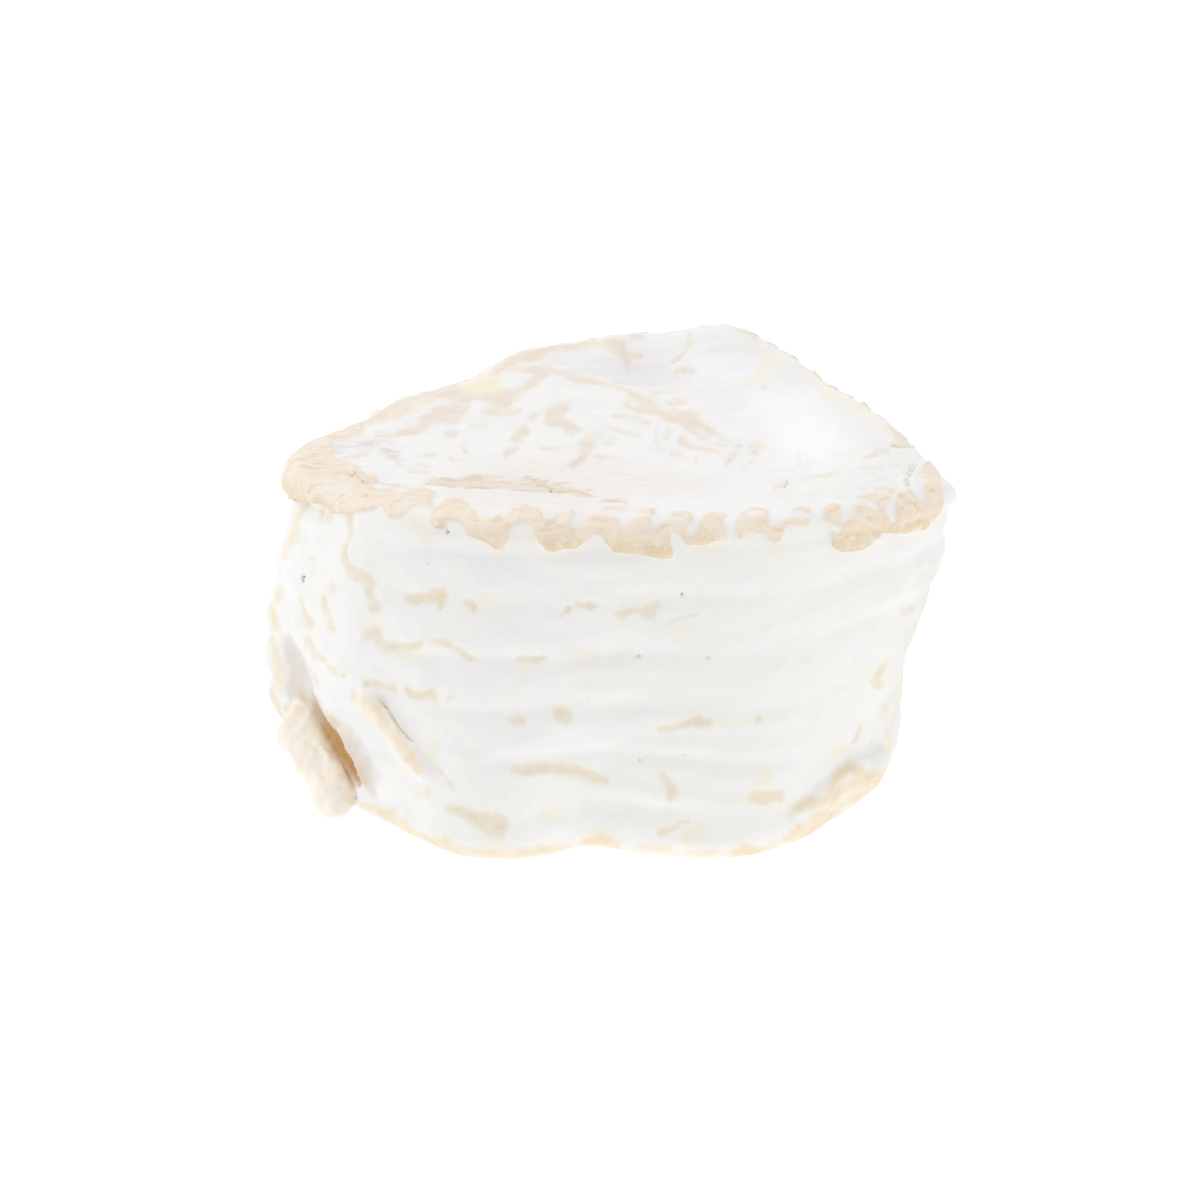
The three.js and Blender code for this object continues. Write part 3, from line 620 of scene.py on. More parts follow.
GRADIENT_COUNT = 256
GRADIENTS = np.random.default_rng(7).normal(size=(GRADIENT_COUNT, 3))
GRADIENTS /= np.linalg.norm(GRADIENTS, axis=1)[:, None]
HASH_STEPS = np.array((374761393, 668265263, 1274126177))
HASH_SEED_STEP = 362437
NOISE_GAIN = 1.6  # brings the noise to about -1 to 1


def noise(points, size, seed):
    """Smooth noise of about -1 to 1 at each point, with forms about one size across, alike in every run."""
    scaled = points / size
    cell = np.floor(scaled).astype(np.int64)
    inside = scaled - cell
    ease = inside**3 * (inside * (inside * 6 - 15) + 10)
    total = np.zeros(len(points))
    for corner in itertools.product((0, 1), repeat=3):
        key = (cell + corner) @ HASH_STEPS + seed * HASH_SEED_STEP
        key = (key ^ (key >> 13)) * HASH_STEPS[0]
        gradient = GRADIENTS[(key ^ (key >> 16)) % GRADIENT_COUNT]
        weight = np.prod(np.where(corner, ease, 1 - ease), axis=1)
        total += weight * np.einsum("ij,ij->i", gradient, inside - corner)
    return total * NOISE_GAIN


def texture(points, layers):
    """Several noises added up, each given by its height, its size across and its seed."""
    return sum(height * noise(points, size, seed) for height, size, seed in layers)


# ---------------------------------------------------------------- form


def outline_at(level, base, bearing):
    """Radius of the plain outline at the foot, the waist or the rim."""
    return base + sum(f[2 + level] * bell(turn(bearing, f[0]), f[1]) for f in OUTLINE_FORMS)


def rim_radius(bearing):
    return outline_at(RIM, RIM_RADIUS, bearing)


def rim_height(bearing):
    forms = sum(rise * bell(turn(bearing, at), spread) for at, spread, rise in RIM_FORMS)
    return RIM_HEIGHT + forms + RIM_WAVE * np.sin(radians(13 * bearing))


def rib_relief(bearing, height):
    """Depth of the grooves, which sag a little between the corners of the front."""
    sag = 1.1 * np.sin(radians(2 * bearing + 60)) + 0.5 * np.sin(radians(5 * bearing))
    phase = (height - RIB_FIRST + sag) / RIB_PITCH
    groove = bell(phase - np.round(phase), RIB_WIDTH)
    uneven = 0.7 + 0.3 * np.sin(radians(4 * bearing + 20) + np.floor(phase))
    return -RIB_DEPTH * groove * smooth(height / RIB_FADE) * uneven


def side_radius(bearing, height):
    level = height / rim_height(bearing)
    foot = outline_at(FOOT, FOOT_RADIUS, bearing)
    waist = outline_at(WAIST, WAIST_RADIUS, bearing)
    rim = rim_radius(bearing) - CRUST_OVERHANG
    # The parabola through the three levels.
    to_foot = (level - WAIST_LEVEL) * (level - 1) / WAIST_LEVEL
    to_waist = level * (1 - level) / (WAIST_LEVEL * (1 - WAIST_LEVEL))
    to_rim = level * (level - WAIST_LEVEL) / (1 - WAIST_LEVEL)
    forms = sum(
        out * bell(turn(bearing, at), wide) * bell(height - up, tall)
        for at, up, wide, tall, out in SIDE_FORMS
    )
    return foot * to_foot + waist * to_waist + rim * to_rim + forms + rib_relief(bearing, height)


def top_height(x, y):
    beyond = np.hypot(x - HUMP["x"], y - HUMP["y"]) - HUMP["radius"]
    toward_back = smooth((y - HUMP["front"]) / (HUMP["back"] - HUMP["front"]))
    hump = HUMP["rise"] * (1 - smooth(beyond / HUMP["slope"])) * toward_back
    ridge = RIDGE["rise"] * bell(beyond, RIDGE["wide"]) * toward_back
    forms = sum(rise * bell(np.hypot(x - at_x, y - at_y), wide) for at_x, at_y, wide, rise in TOP_FORMS)
    return TOP_HEIGHT + hump + ridge + forms


def polar(bearing, radius, height):
    """Points as rows of x, y and z."""
    turned = radians(bearing)
    flat = np.broadcast_arrays(radius * np.cos(turned), radius * np.sin(turned), height)
    return np.stack(flat, axis=-1)


def top_ring(bearing, share):
    """The ring of the white top at a share of the way from the axis to the rim's rounding."""
    edge = rim_radius(bearing) - RIM_ROUNDING
    ring = polar(bearing, edge * share, 0)
    inward = edge * (1 - share)
    toward_back = bell(turn(bearing, SETTLING["bearing"]), SETTLING["spread"])
    settled = smooth(inward / mix(SETTLING["width"], SETTLING["back_width"], toward_back))
    ring[:, 2] = mix(rim_height(bearing) - CRUST_RISE, top_height(ring[:, 0], ring[:, 1]), settled)
    return ring


BEARINGS = 900
FOOT_RINGS, ROUNDING_RINGS, SIDE_RINGS, TOP_RINGS = 50, 10, 120, 90
CRUST_UNDERSIDE = [(0.14, 0.75), (0.6, 0.95)]  # shares of the way up and out from the neck


def wheel_rings():
    """Rings of points from the middle of the underside, up the side and over the rim to the top's middle."""
    bearing = np.arange(BEARINGS) * (360 / BEARINGS)
    foot = side_radius(bearing, FOOT_ROUNDING)
    crest = rim_height(bearing) - CRUST_RISE
    neck = rim_height(bearing) - CRUST_DEPTH
    rings = []
    for share in np.linspace(0.02, 1, FOOT_RINGS)[:-1]:
        rings.append(polar(bearing, (foot - FOOT_ROUNDING) * share, 0))
    for slope in np.linspace(0, math.pi / 2, ROUNDING_RINGS)[:-1]:
        inward = FOOT_ROUNDING * (1 - math.sin(slope))
        rings.append(polar(bearing, foot - inward, FOOT_ROUNDING * (1 - math.cos(slope))))
    for share in np.linspace(0, 1, SIDE_RINGS):
        height = mix(FOOT_ROUNDING, neck, share)
        rings.append(polar(bearing, side_radius(bearing, height), height))
    lobes = sum(out * bell(turn(bearing, at), spread) for at, spread, out in CRUST_FORMS)
    edge = rim_radius(bearing) - CRUST_OVERHANG + lobes
    under = side_radius(bearing, neck)
    for rise, stand in CRUST_UNDERSIDE:
        rings.append(polar(bearing, mix(under, edge, stand), mix(neck, crest - RIM_ROUNDING, rise)))
    for slope in np.linspace(0, math.pi / 2, ROUNDING_RINGS):
        inward, down = RIM_ROUNDING * (1 - math.cos(slope)), RIM_ROUNDING * (1 - math.sin(slope))
        rings.append(polar(bearing, edge - inward, crest - down))
    for share in np.linspace(1, 0.01, TOP_RINGS)[1:]:
        rings.append(top_ring(bearing, share))
    return rings


TONGUE_STATIONS, TONGUE_SIDES = 60, 36
RAGGED_SHARE, RAGGED_SIZE = 0.16, 2.2  # how far a tongue's width comes and goes, and over what length


def smooth_path(points, count):
    """Points evenly spread by share along a Catmull-Rom curve through the given ones."""
    padded = np.vstack([2 * points[0] - points[1], points, 2 * points[-1] - points[-2]])
    at = np.linspace(0, len(points) - 1, count)
    span = np.minimum(at.astype(int), len(points) - 2)
    t = (at - span)[:, None]
    a, b, c, d = (padded[span + i] for i in range(4))
    curve = 2 * b + (c - a) * t + (2 * a - 5 * b + 4 * c - d) * t**2 + (3 * b - 3 * c + d - a) * t**3
    return curve / 2


def tongue_path(tongue):
    bearing, height, off = np.array(tongue["along"], float).T
    return smooth_path(polar(bearing, side_radius(bearing, height) + off, height), TONGUE_STATIONS)


def tongue_object(tongue):
    """A flattened bar along its path, uneven in width, tapering to a point at each end."""
    path = tongue_path(tongue)
    tangent = np.gradient(path, axis=0)
    tangent /= np.linalg.norm(tangent, axis=1)[:, None]
    outward = path * (1, 1, 0)
    across = np.cross(outward, tangent)
    across /= np.linalg.norm(across, axis=1)[:, None]
    outward = np.cross(tangent, across)
    lean = radians(tongue["lean"])
    leaning = across * np.cos(lean) + outward * np.sin(lean)
    raised = outward * np.cos(lean) - across * np.sin(lean)
    share = np.linspace(0, 1, TONGUE_STATIONS)
    fullness = np.sqrt(1 - (2 * share - 1) ** tongue["squareness"])
    ragged = 1 + RAGGED_SHARE * noise(path, RAGGED_SIZE, tongue["seed"])
    angle = np.linspace(0, 2 * math.pi, TONGUE_SIDES, endpoint=False)
    rings = []
    for i in range(1, TONGUE_STATIONS - 1):
        wide = tongue["half_width"] * fullness[i] * ragged[i] * np.cos(angle)
        thick = tongue["half_thickness"] * fullness[i] * np.sin(angle)
        ring = path[i] + np.outer(wide, leaning[i]) + np.outer(thick, raised[i])
        ring[:, 2] = np.maximum(FLOOR_CLEARANCE, ring[:, 2])
        rings.append(ring)
    return new_object("tongue", *surface_of(rings, path[0], path[-1]))


def surface_of(rings, first, last):
    """Vertices and faces of the closed skin over equal rings and a point at each end."""
    count = len(rings[0])
    points = np.vstack([first, *rings, last])
    i = np.arange(count)
    beside = (i + 1) % count
    faces = [np.stack([np.zeros_like(i), 1 + beside, 1 + i], axis=1)]
    starts = 1 + count * np.arange(len(rings))
    quads = [np.stack([s + i, s + beside, s + count + beside, s + count + i], axis=1) for s in starts[:-1]]
    top = starts[-1]
    faces.append(np.stack([np.full_like(i, len(points) - 1), top + i, top + beside], axis=1))
    return points, [face.tolist() for group in (*faces, *quads) for face in group]


# ---------------------------------------------------------------- meshes


def new_object(name, points, faces):
    mesh = bpy.data.meshes.new(name)
    mesh.from_pydata((points * MM).tolist(), [], faces)
    made = bpy.data.objects.new(name, mesh)
    bpy.context.scene.collection.objects.link(made)
    return made


def apply_modifiers(piece):
    """Swaps the piece's mesh for what its modifiers make of it."""
    evaluated = piece.evaluated_get(bpy.context.evaluated_depsgraph_get())
    made = bpy.data.meshes.new_from_object(evaluated)
    piece.modifiers.clear()
    old = piece.data
    piece.data = made
    bpy.data.meshes.remove(old)


def combine(piece, operation, tool):
    """Adds the tool's volume to the piece, or takes it out, and removes the tool."""
    boolean = piece.modifiers.new("combine", "BOOLEAN")
    boolean.operation, boolean.solver, boolean.object = operation, "MANIFOLD", tool
    apply_modifiers(piece)
    bpy.data.objects.remove(tool)


def values_of(items, name, width, kind=np.float32):
    """What each vertex or edge of a mesh holds under a name, as rows."""
    flat = np.empty(len(items) * width, kind)
    items.foreach_get(name, flat)
    return flat.reshape(-1, width)


def mesh_points(mesh):
    return values_of(mesh.vertices, "co", 3).astype(float) / MM


def set_mesh_points(mesh, points):
    mesh.vertices.foreach_set("co", (points * MM).astype(np.float32).ravel())
    mesh.update()


RELAX_RETURN = 1.03  # how much longer the way back is


def relax(points, edges, rounds, strength):
    """Moves each point towards the middle of its neighbours and back, which evens the skin at its size."""
    count = np.bincount(edges.ravel(), minlength=len(points)).astype(float)[:, None]
    for step in np.tile((strength, -RELAX_RETURN * strength), rounds):
        total = np.zeros_like(points)
        for a, b in ((0, 1), (1, 0)):
            for axis in range(points.shape[1]):
                total[:, axis] += np.bincount(edges[:, a], points[edges[:, b], axis], len(points))
        points = points + step * (total / count - points)
    return points


VOXEL = 0.35
RELAX_ROUNDS, RELAX_STRENGTH = 4, 0.5


def bare_wheel():
    """The wheel in one even skin, with its tongues of rind and crevice, before what is finer."""
    middle_of_top = np.array((0, 0, float(top_height(0.0, 0.0))))
    wheel = new_object("bloomy_wheel", *surface_of(wheel_rings(), np.zeros(3), middle_of_top))
    combine(wheel, "DIFFERENCE", tongue_object(CREVICE))
    for tongue in (FLAP, PEELED_STRIP, FOOT_FOLD):
        combine(wheel, "UNION", tongue_object(tongue))
    remesh = wheel.modifiers.new("even skin", "REMESH")
    remesh.mode, remesh.voxel_size = "VOXEL", VOXEL * MM
    apply_modifiers(wheel)
    edges = values_of(wheel.data.edges, "vertices", 2, np.int32)
    set_mesh_points(wheel.data, relax(mesh_points(wheel.data), edges, RELAX_ROUNDS, RELAX_STRENGTH))
    return wheel


# ---------------------------------------------------------------- charts and what they hold

FAR = 99.0  # deeper outside every chain than any width
FADE = 6.0  # taken off a depth where a chart doesn't count
CHART_ARC = 40 * math.pi / 180  # millimetres round the side for a degree of bearing
CREST_FADE = 1.5  # how far down from the rim's crest the top passes into the side
SOLE_FADE = 0.6  # how high the flat underside passes into the side
# What faces away from the camera by more than the first no longer shows, over a span of the second.
FACING_AWAY, FACING_FADE = -0.25, 0.15
# What frays the edges of marks, along each axis of their chart: height, size across and seed.
DRIFT = [
    [(1, 2.4, 21), (0.45, 0.9, 61)],
    [(1, 2.4, 22), (0.45, 0.9, 62)],
]


def chain_depth(points, chain):
    """How deep each point lies inside a chain of discs joined by tapering bars, negative outside."""
    depth = np.full(len(points), -FAR)
    for start, end in zip(chain, chain[1:] or chain):
        at, step = np.array(start[:-1], float), np.subtract(end[:-1], start[:-1])
        share = np.clip((points - at) @ step / max(step @ step, 1e-9), 0, 1)
        gap = np.linalg.norm(points - at - share[:, None] * step, axis=1)
        depth = np.maximum(depth, mix(start[-1], end[-1], share) - gap)
    return depth


def outline_depth(points, outline):
    """How deep each point lies inside a closed outline, negative outside."""
    corners = np.array(outline, float)
    nearest = np.full(len(points), FAR * FAR)
    inside = np.zeros(len(points), bool)
    for start, end in zip(corners, np.roll(corners, -1, axis=0)):
        step, offset = end - start, points - start
        share = np.clip(offset @ step / (step @ step), 0, 1)
        nearest = np.minimum(nearest, np.hypot(*(offset - share[:, None] * step).T))
        if step[1]:
            passed = (start[1] > points[:, 1]) != (end[1] > points[:, 1])
            inside ^= passed & (offset[:, 0] < offset[:, 1] * step[0] / step[1])
    return np.where(inside, nearest, -nearest)


def deepest(points, shapes, depth_in, reach=3.0):
    """How deep each point lies inside the deepest of several shapes."""
    depth = np.full(len(points), -FAR)
    axes = points.shape[1]
    for shape in shapes:
        places = np.array(shape, float)
        margin = reach + (places[:, axes:].max() if places.shape[1] > axes else 0)
        low, high = places[:, :axes].min(0) - margin, places[:, :axes].max(0) + margin
        near = np.nonzero(np.all((points > low) & (points < high), axis=1))[0]
        depth[near] = np.maximum(depth[near], depth_in(points[near], shape))
    return depth


def unrolled(chains):
    """Chains given by bearing, with the bearing as millimetres round from the front.

    The charts part at the back, so a chain there is laid down once from each side.
    """
    laid = []
    for chain in chains:
        start = turn(chain[0][0], 270)
        for whole_turn in (-360, 0, 360):
            if abs(start + whole_turn) < 200:
                around = [start + whole_turn + turn(b, chain[0][0]) for b, *_ in chain]
                laid.append([(at * CHART_ARC, *rest) for at, (_, *rest) in zip(around, chain)])
    return laid


def camera_axes():
    """The camera's place, and its directions right, up and back from what it sees."""
    slope = radians(CAMERA_ELEVATION)
    up = np.array((0, np.sin(slope), np.cos(slope)))
    back = np.array((0, -np.cos(slope), np.sin(slope)))
    return np.array(CAMERA_TARGET) + back * CAMERA_DISTANCE, np.array((1, 0, 0)), up, back


class Charts:
    """Where each point of the skin lies in the charts, with the noise that frays edges there."""

    def __init__(self, points, normals, shift):
        bearing = np.degrees(np.arctan2(points[:, 1], points[:, 0])) % 360
        radius = np.hypot(points[:, 0], points[:, 1])
        round_front = turn(bearing, 270) * CHART_ARC
        below = np.maximum(rim_height(bearing) - points[:, 2], 0)
        inward = np.maximum(rim_radius(bearing) - radius, 0)
        self.points = points
        self.bearing, self.height = bearing, points[:, 2]
        self.down = below - inward
        self.side = np.stack([round_front, self.height], axis=1)
        self.rim = np.stack([round_front, self.down], axis=1)
        self.on_side = smooth(self.down / CREST_FADE)
        self.on_top = smooth(-self.down / CREST_FADE)
        self.under = smooth(1 - self.height / SOLE_FADE)
        eye, right, up, back = camera_axes()
        from_eye = points + shift - eye
        seen = np.stack([from_eye @ right, -from_eye @ up], axis=1) / -(from_eye @ back)[:, None]
        self.photo = PHOTO_PIXELS / 2 + FOCAL_PIXELS * seen
        facing = -np.einsum("ij,ij->i", normals, from_eye) / np.linalg.norm(from_eye, axis=1)
        self.shown = smooth((facing - FACING_AWAY) / FACING_FADE)
        self.drift = np.stack([texture(points, layers) for layers in DRIFT], axis=1)

    def hidden_depth(self, chart, chains, fray):
        """How deep each point that faces away lies in chains given by bearing, with edges frayed."""
        depth = deepest(chart + fray * self.drift, unrolled(chains), chain_depth)
        return depth - FADE * self.shown

    def photo_depth(self, shapes, depth_in, fray):
        """How deep each point that shows lies in marks of the photograph, in millimetres."""
        places = self.photo / PIXELS_PER_MM + fray * self.drift
        scaled = [(np.array(shape, float) / PIXELS_PER_MM).tolist() for shape in shapes]
        return deepest(places, scaled, depth_in) - FADE * (1 - self.shown)


def random_chain(rng, bearing, height, length, half_width, slope):
    """A short uneven chain that runs round the wheel, thicker in its middle."""
    steps = np.linspace(-0.5, 0.5, 4)
    return [
        (
            bearing + step * length / CHART_ARC,
            height + slope * step * length + rng.normal(0, 0.15),
            half_width * (1 - 1.4 * step * step) * rng.uniform(0.6, 1.2),
        )
        for step in steps
    ]


# The places for bare patches on the side that faces away: grooves up it, bearings round it, and how many
# of those places hold one.
BACK_GROOVES = 6
BACK_BEARINGS = np.arange(-12, 188, 11)
BACK_SHARE = 0.62


def back_patches():
    """Bare patches over the grooves of the side that faces away, as thickly as at the front."""
    rng = np.random.default_rng(19)
    chains = []
    for groove, bearing in itertools.product(range(BACK_GROOVES), BACK_BEARINGS):
        if rng.random() < BACK_SHARE:
            height = RIB_FIRST + RIB_PITCH * groove + rng.normal(0, 0.9)
            length, half_width = rng.uniform(1, 6.5), rng.uniform(0.25, 0.85)
            at = bearing + rng.uniform(-5, 5)
            chains.append(random_chain(rng, at, height, length, half_width, rng.normal(0, 0.1)))
    return chains


BACK_SCALLOPS = np.arange(2, 170, 5.4)  # their bearings
# The crest of each: how far round from its middle, how far down and half width.
BACK_CREST = [(-2.6, -0.7, 0.9), (0, -0.5, 1), (2.8, -0.8, 0.9)]
BACK_HANGING_SHARE = 0.85


def back_crust():
    """Scallops of crust along the rest of the rim: most hang down the outside from a narrow crest."""
    rng = np.random.default_rng(31)
    chains = []
    for bearing in BACK_SCALLOPS:
        at = bearing + rng.uniform(-1.2, 1.2)
        low = rng.uniform(1.2, 3.6)
        wide = rng.uniform(0.7, 1.3)
        chains.append([(at + along, down, half_width) for along, down, half_width in BACK_CREST])
        if rng.random() < BACK_HANGING_SHARE:
            chains.append([(at, 0, wide), (at + rng.uniform(-1.5, 1.5), low, wide * 0.9)])
    return chains


def skin_fields(charts):
    """How deep each point lies in each kind of mark on the rind."""
    crust = np.maximum(
        charts.photo_depth(CRUST_OUTLINES, outline_depth, fray=0.14),
        charts.hidden_depth(charts.rim, back_crust(), fray=0.42),
    )
    streaks = np.maximum(
        charts.photo_depth(TOP_OUTLINES, outline_depth, fray=0.16),
        charts.photo_depth(TOP_STROKES, chain_depth, fray=0.12),
    )
    patches = np.maximum(
        charts.photo_depth(SIDE_PATCHES, chain_depth, fray=0.2),
        charts.hidden_depth(charts.side, back_patches(), fray=0.34),
    )
    return {
        "crust": np.minimum(crust, -charts.photo_depth(CRUST_GAPS, chain_depth, fray=0.1)),
        "pale_crust": charts.photo_depth(PALE_CRUST, chain_depth, fray=0.4),
        "streaks": streaks,
        "patches": patches,
        "faint": charts.photo_depth(FAINT_PATCHES, chain_depth, fray=0.3),
        "ochre": charts.photo_depth(OCHRE_SKIN, chain_depth, fray=0.25),
        "deep_ochre": charts.photo_depth(DEEP_OCHRE, chain_depth, fray=0.25),
        "lines": charts.photo_depth(CREASE_LINES, chain_depth, fray=0.08),
        "holes": charts.photo_depth([[hole] for hole in PINHOLES], chain_depth, fray=0),
        "wrinkles": charts.photo_depth(WRINKLES, chain_depth, fray=0.1),
    }


def tongue_depth(points, tongue, half_width):
    """How deep each point lies within a half width of a tongue's path, less towards its ends."""
    path = tongue_path(tongue)[::4]
    share = np.linspace(0, 1, len(path))
    reach = half_width * np.sqrt(1 - (2 * share - 1) ** tongue["squareness"])
    return deepest(points, [[(*place, wide) for place, wide in zip(path, reach)]], chain_depth)


def within(depth, edge):
    """1 inside a mark and 0 outside, smooth over the width of its edge."""
    return smooth(depth / edge + 0.5)


# How far each mark stands out or lies in, in millimetres.
CRUST_THICKNESS, CRUST_SHARE_ON_TOP = 0.46, 0.5
PATCH_DEPTH = 0.14
LINE_DEPTH = 0.2
WRINKLE_HEIGHT = 0.28
HOLE_DEPTH = 0.4
MARK_EDGE, TONGUE_EDGE, WRINKLE_EDGE, FINE_EDGE = 0.5, 0.8, 0.4, 0.3
BARE_CALM = 0.6  # how much less lumpy bare skin is

# Layers of uneven skin: height, size across and seed.
CRUST_LUMPS = [(0.18, 2.1, 51), (0.12, 0.85, 52)]
MOULD_LUMPS = [(0.16, 5.2, 61), (0.1, 1.9, 62), (0.035, 0.8, 63)]
TOP_CREASES = [(0.09, 1.3, 64)]
SIDE_CREASES = [(0.24, 2.6, 65)]
TONGUE_LUMPS = [(0.35, 2.4, 66), (0.14, 0.9, 67)]
ALONG_X, LEVEL = (0.35, 1, 1), (0.35, 0.35, 1)  # creases run along these, because noise is drawn out there

# Low at the right the grooves are nearly filled, up to a height where they come back.
FILLED_GROOVES = {"bearing": 330, "spread": 32, "height": 27, "fade": 8, "share": 0.65}


def groove_filling(charts):
    around = bell(turn(charts.bearing, FILLED_GROOVES["bearing"]), FILLED_GROOVES["spread"])
    upward = smooth((FILLED_GROOVES["height"] - charts.height) / FILLED_GROOVES["fade"])
    return -FILLED_GROOVES["share"] * around * upward * rib_relief(charts.bearing, charts.height)


def relief(charts, fields):
    """How far the skin stands out at each point, in millimetres."""
    points = charts.points
    crust = within(fields["crust"], MARK_EDGE)
    standing = mix(CRUST_SHARE_ON_TOP, 1, within(charts.down, 1))
    bare = np.maximum(within(fields["streaks"], MARK_EDGE), within(fields["patches"], MARK_EDGE))
    calm = 1 - BARE_CALM * bare
    out = crust * (CRUST_THICKNESS * standing + texture(points, CRUST_LUMPS))
    out -= PATCH_DEPTH * bare * (1 - crust)
    out += calm * texture(points, MOULD_LUMPS)
    out += calm * charts.on_top * texture(points * ALONG_X, TOP_CREASES)
    out += calm * charts.on_side * texture(points * LEVEL, SIDE_CREASES)
    out += within(fields["folds"], TONGUE_EDGE) * texture(points, TONGUE_LUMPS)
    out -= LINE_DEPTH * within(fields["lines"], FINE_EDGE)
    out += WRINKLE_HEIGHT * within(fields["wrinkles"], WRINKLE_EDGE)
    out -= HOLE_DEPTH * within(fields["holes"], FINE_EDGE)
    out += groove_filling(charts)
    return out * (1 - charts.under)


def set_attribute(mesh, name, values):
    attribute = mesh.attributes.new(name, "FLOAT", "POINT")
    attribute.data.foreach_set("value", np.asarray(values, np.float32))


# The marks that the material colours by their depth.
MARKS = (
    "crust", "pale_crust", "streaks", "patches", "faint", "ochre", "deep_ochre", "folds", "lines", "holes"
)
DEEPEST_MARK = 3

# How far the colours of the flap, the strip and the crevice reach from the middle of their paths.
FLAP_REACH, STRIP_REACH, CREVICE_REACH = 3.4, 1.5, 4
# The crevice is pale at its upper end, and darkens over some degrees from there.
CREVICE_START, CREVICE_DARKENING, CREVICE_PALEST = 202, 7, 0.18
# How soft its edge is, how far in the skin lies where its brown and painted shade start, and how much further
# in they are full.
CREVICE_EDGE, BROWN_AND_SHADE_FROM, BROWN_AND_SHADE_OVER = 1.2, 0.5, 1.6

# A cream band along the foot, and halos round the bare patches and the crust.
FOOT_BAND, FOOT_BAND_EDGE = 1.7, 1.6
FOOT_BAND_WAVES = [(0.9, 9, 71), (0.5, 3, 72)]
PATCH_HALO = {"strength": 0.45, "reach": 0.64, "edge": 1.6}
CRUST_HALO = {"strength": 0.6, "reach": 1.17, "edge": 2.6}
# How far down from the crest the crust starts to turn deeper, and how far below that it is deepest.
DEEPER_FROM, DEEPER_OVER = 0.5, 3


def halo(depth, kind):
    return kind["strength"] * within(depth + kind["reach"], kind["edge"])


def cream_share(charts, fields):
    band = FOOT_BAND + texture(charts.points, FOOT_BAND_WAVES) - charts.height
    round_crust = halo(fields["crust"], CRUST_HALO) * charts.on_side
    return np.maximum.reduce([within(band, FOOT_BAND_EDGE), halo(fields["patches"], PATCH_HALO), round_crust])


def crevice_brown_and_shade_share(charts):
    """How far the crevice's brown and its painted shade show: only where the skin lies in from the plain
    side, fully where it lies deep.
    """
    sunk = side_radius(charts.bearing, charts.height) - np.hypot(charts.points[:, 0], charts.points[:, 1])
    along = smooth(turn(charts.bearing, CREVICE_START) / CREVICE_DARKENING)
    near = smooth(tongue_depth(charts.points, CREVICE, CREVICE_REACH) / CREVICE_EDGE)
    return near * smooth((sunk - BROWN_AND_SHADE_FROM) / BROWN_AND_SHADE_OVER) * mix(CREVICE_PALEST, 1, along)


def shift_to_solid(points):
    """How far the skin has to move to its solid, which stands with the middle of its box over the origin."""
    low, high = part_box(NODE)
    solid_middle = np.array(low + high) / (2 * MM)
    skin_middle = (points.min(0) + points.max(0)) / 2
    return (solid_middle - skin_middle) * (1, 1, 0)


def dress(wheel):
    """Raises and sinks the skin, moves it to its solid and writes what its material reads."""
    mesh = wheel.data
    points, normals = mesh_points(mesh), values_of(mesh.vertex_normals, "vector", 3).astype(float)
    shift = shift_to_solid(points)
    charts = Charts(points, normals, shift)
    fields = skin_fields(charts)
    fields["folds"] = np.maximum(
        tongue_depth(points, FLAP, FLAP_REACH), tongue_depth(points, PEELED_STRIP, STRIP_REACH)
    )
    moved = points + normals * relief(charts, fields)[:, None]
    moved[:, 2] = np.maximum(moved[:, 2], 0)
    set_mesh_points(mesh, moved + shift)

    for name in MARKS:
        set_attribute(mesh, name, np.clip(fields[name], -DEEPEST_MARK, DEEPEST_MARK))
    for name, tint in TINTS.items():
        depth = charts.photo_depth(tint["chains"], chain_depth, fray=0.6)
        set_attribute(mesh, name, within(depth, tint["soft"]))
    set_attribute(mesh, "cream", cream_share(charts, fields))
    set_attribute(mesh, "crevice", crevice_brown_and_shade_share(charts))
    set_attribute(mesh, "low", smooth((charts.down - DEEPER_FROM) / DEEPER_OVER))


# ---------------------------------------------------------------- material

WHITE_COOL = (0.905, 0.903, 0.897)
WHITE_WARM = (0.918, 0.908, 0.886)
MOTTLE_GREY = (0.885, 0.88, 0.875)
CREAM = (0.92, 0.895, 0.8)
CRUST_PALE = (0.91, 0.81, 0.695)
CRUST_LOBE = (0.93, 0.852, 0.76)
CRUST_DEEP = (0.82, 0.675, 0.485)
CRUST_EDGE = (0.72, 0.54, 0.34)
FOLD_TAN = (0.94, 0.862, 0.76)
FOLD_DEEP = (0.88, 0.76, 0.58)
# Partly brown skin, partly painted shade in creases and gaps.
LINE_BROWN_AND_SHADE = (0.68, 0.5, 0.34)
# Painted shade in the pinholes' pits.
PINHOLE_SHADE = (0.45, 0.3, 0.16)
# Partly the crevice's own brown, partly painted shade in it.
CREVICE_BROWN_AND_SHADE = (0.62, 0.38, 0.16)

# Bare skin in the order that it is laid on: how soft its edge is and how far that frays, both in
# millimetres, how far it shows where it is least and most worn, its colour, and that of its middle.
BARE_SKIN = {
    "faint": {"soft": 1.1, "fray": 0.4, "least": 0.4, "most": 0.85, "colour": (0.905, 0.865, 0.73)},
    "streaks": {"soft": 0.45, "fray": 0.4, "least": 0.55, "most": 1, "colour": (0.855, 0.76, 0.66)},
    "patches": {
        "soft": 0.42, "fray": 0.4, "least": 0.6, "most": 1, "colour": (0.85, 0.77, 0.63),
        "middle": (0.8, 0.69, 0.52),
    },
    "ochre": {"soft": 0.6, "fray": 0.35, "least": 0.5, "most": 1, "colour": (0.875, 0.77, 0.59)},
    "deep_ochre": {"soft": 0.8, "fray": 0.35, "least": 0.5, "most": 1, "colour": (0.84, 0.705, 0.525)},
}


